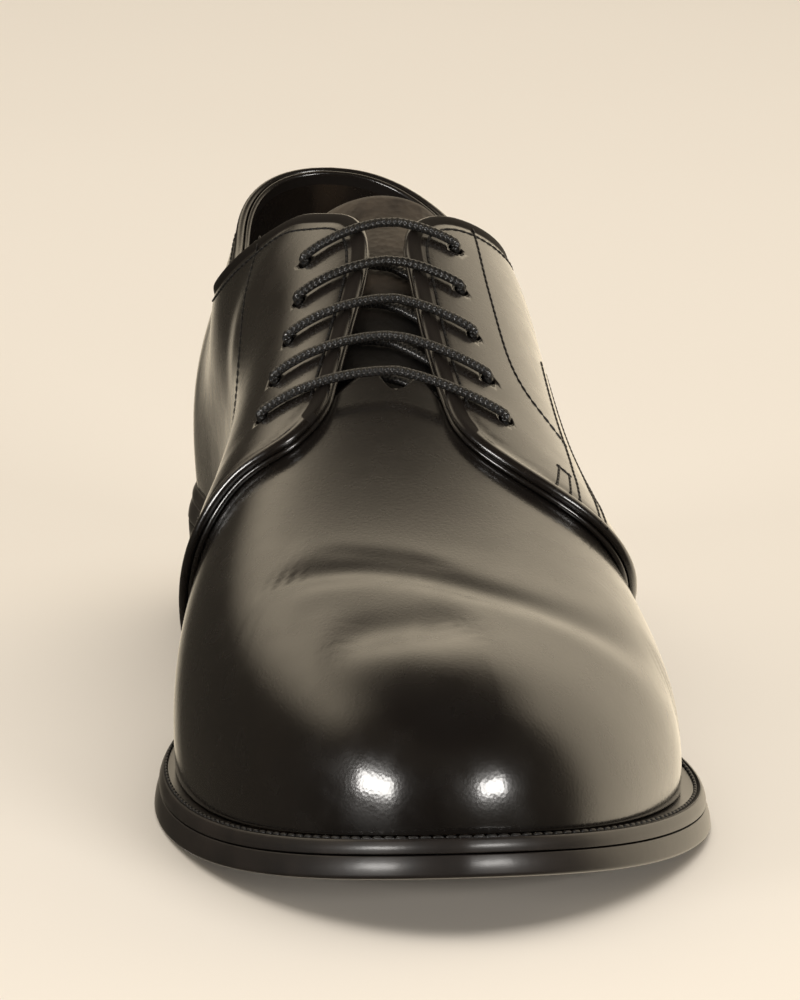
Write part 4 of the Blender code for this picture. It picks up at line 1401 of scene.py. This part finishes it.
# %% Seams of the quarters
STAY_LATERAL = (
    (0.428, 67.4), (0.436, 66.9), (0.461, 65.8), (0.486, 64.4), (0.512, 62.9),
    (0.530, 60.8), (0.541, 57.0), (0.545, 52.5), (0.546, 48.5),
)
STAY_MEDIAL = (
    (-0.377, 54.0), (-0.394, 49.4), (-0.412, 45.4), (-0.430, 41.6), (-0.448, 38.0), (-0.475, 35.2),
    (-0.510, 34.8), (-0.545, 36.2), (-0.570, 37.6),
)
JOIN_INNER = ((0.470, 46.0), (0.505, 46.8), (0.545, 48.4), (0.585, 50.6), (0.616, 52.2))
JOIN_OUTER = ((0.450, 39.0), (0.500, 41.2), (0.545, 43.2), (0.585, 45.2), (0.613, 46.8))
JOIN_LOW = ((0.450, 37.0), (0.500, 39.2), (0.545, 41.2), (0.585, 43.2), (0.612, 44.8))
TACK_BOX = ((0.617, 58.0), (0.590, 55.4), (0.590, 52.9), (0.617, 54.6))

seams = Patches()
shade_strips = Patches()
for row in (STAY_LATERAL, STAY_MEDIAL, JOIN_INNER, JOIN_OUTER, JOIN_LOW):
    sew(*between(row, 300), STITCH_PITCH, STITCH_LONG, STITCH_TILT)
for start, end in zip(TACK_BOX, TACK_BOX[1:]):
    sew(*between((start, end), 40), TACK_PITCH, TACK_LONG)
print("stitches in the seams:", len(seams.points))

# %% [markdown]
# The topline is sewn at an even distance below the cut edge.  Welt stitches are longer and
# thicker, and lie flat on the welt from one side of the heel round the toe to the other.

# %% Topline and welt
TOPLINE_MARGIN = 0.0042
TOPLINE_START = 0.004
TOPLINE_END = 0.96
WELT_STITCH_LINE = 0.55
WELT_STITCH_LIFT = 0.00005
WELT_STITCH_CLEAR = 0.02
# Pitch, length and half width of a welt stitch.
WELT_STITCH = (0.0024, 0.0021, 0.00040)


def topline(side, step=1e-4):
    """The top edge moved down square to itself on the last, by the stitching's margin."""
    top = EDGES[side][0]
    pick = top[int(TOPLINE_START * len(top)):int(TOPLINE_END * len(top)):4]
    rib, lift = pick.T
    points = last_surface(rib, lift)
    by_rib = np.linalg.norm(last_surface(rib + step, lift) - points, axis=-1) / step
    by_lift = np.linalg.norm(last_surface(rib, lift - step) - points, axis=-1) / step
    forward = np.gradient(pick, axis=0)
    way = unit(np.stack([forward[:, 0] * by_rib, forward[:, 1] * by_lift], -1)) * TOPLINE_MARGIN
    return (rib + way[:, 1] / by_rib) * side, lift - way[:, 0] / by_lift


for side in (1, -1):
    sew(*on_quarter(*topline(side)), STITCH_PITCH, STITCH_LONG, 0.0, (0.00030, 0.00006))

welt_ribs = np.linspace(-0.999, 0.999, 1600)
welt_ribs = welt_ribs[np.abs(welt_ribs) > BREAST_RIB + WELT_STITCH_CLEAR]
for part in (welt_ribs[welt_ribs > 0], welt_ribs[welt_ribs < 0]):
    path = ring([(WELT_STITCH_LINE, 0.0, WELT_THICKNESS + WELT_STITCH_LIFT)], welt_base, part)[:, 0]
    upright = np.broadcast_to(np.array([0.0, 0.0, 1.0]), path.shape)
    for stitch in capsules(path, upright, *WELT_STITCH):
        seams.add(stitch)
seam_piece = make_piece("stitches", seams, [thread_finish.material])
shade_strip_piece = make_piece("seam_shade_strips", shade_strips, [shade_strip_finish.material])

# %% [markdown]
# ## Studio
# Glossy black leather shows what surrounds it.  A pale surround behind and above gives the
# brown-grey sheen of the vamp and quarters, a darker surround in front keeps the toe dark, and
# two soft lamps low in front give the twin highlights on the toe.

# %% Floor
FLOOR_RADII = np.array([0.0, 0.5, 2.0, 6.0, 12.0])
floor_finish = Finish("pale_floor", 0.9, 0.0, 0.3, 1.3)
floor_finish.clouded(1.2, 2.0, (0.74, 0.685, 0.61), (0.76, 0.705, 0.63))
angle = np.linspace(0, 2 * math.pi, 97)
spokes = [np.outer(FLOOR_RADII, np.cos(angle)), np.outer(FLOOR_RADII, np.sin(angle))]
disc = np.stack([*spokes, np.zeros_like(spokes[0])], -1)
floor_mesh = bpy.data.meshes.new("floor")
floor_mesh.from_pydata(disc.reshape(-1, 3), [], quads(*disc.shape[:2], 0))
floor_mesh.materials.append(floor_finish.material)
floor_object = add_object("floor", floor_mesh)
floor_object.visible_glossy = False
print("floor", 2 * FLOOR_RADII[-1], "m across")

# %% [markdown]
# The surround has no picture.  Its brightness follows the direction looked at: dim overhead, dim
# in front, and dim low down except on the lateral side.  The camera itself sees a plain warm
# backdrop.

# %% Surround
WALL_COLOUR = (1.25, 1.07, 0.80)
BACKDROP_COLOUR = (0.89, 0.82, 0.71)
world = bpy.data.worlds.new("surround")
bpy.context.scene.world = world
world.use_nodes = True
sky = Nodes(world.node_tree)
way = sky.nodes.new("ShaderNodeTexCoord").outputs["Generated"]
parts = sky.node("SeparateXYZ", {0: way}).outputs
wall = sky.band(parts["Z"], 0.57, 0.91, 1.0, 0.035)
behind = sky.band(parts["Y"], -0.10, 0.34, 0.05, 1.0)
above = sky.band(parts["Z"], 0.25, 0.60, 0.04, 1.0)
beside = sky.band(parts["X"], -0.30, 0.15, 0.0, 1.0)
power = sky.math("MULTIPLY", sky.math("MULTIPLY", wall, behind), sky.math("MAXIMUM", above, beside))
shade = sky.nodes["Background"]
sky.put(WALL_COLOUR, shade.inputs["Color"])
sky.put(power, shade.inputs["Strength"])
backdrop = sky.node("Background", {"Color": BACKDROP_COLOUR})
seen = sky.nodes.new("ShaderNodeLightPath").outputs["Is Camera Ray"]
choose = sky.node("MixShader", {0: seen, 1: shade.outputs[0], 2: backdrop.outputs[0]})
sky.put(choose.outputs[0], sky.nodes["World Output"].inputs["Surface"])
print("surround nodes:", len(sky.nodes))

# %% Lamps
LAMP_COLOUR = (1.0, 0.97, 0.93)
TOE_FRONT = (0.0, -0.12, 0.03)
FRONT_LAMP = (0.64, 0.30, 14.0)


def lamp(name, spot, aim, width, height, watts):
    """A flat soft lamp that faces a point."""
    data = bpy.data.lights.new(name, "AREA")
    data.shape = "RECTANGLE"
    data.size = width
    data.size_y = height
    data.energy = watts
    data.color = LAMP_COLOUR
    print(name, "lamp", round(math.dist(spot, aim), 2), "m away,", watts, "W")
    return add_object(name, data, spot, aim)


overhead = lamp("overhead", (0.10, 0.35, 2.7), (0.0, 0.3, 0.0), 3.2, 3.2, 84.0)
overhead.visible_glossy = False
lamp("front_medial", (-1.42, -0.87, 0.27), TOE_FRONT, *FRONT_LAMP)
lamp("front_lateral", (0.79, -1.48, 0.42), TOE_FRONT, *FRONT_LAMP)
bpy.context.scene.view_settings.view_transform = "Standard"

# %% [markdown]
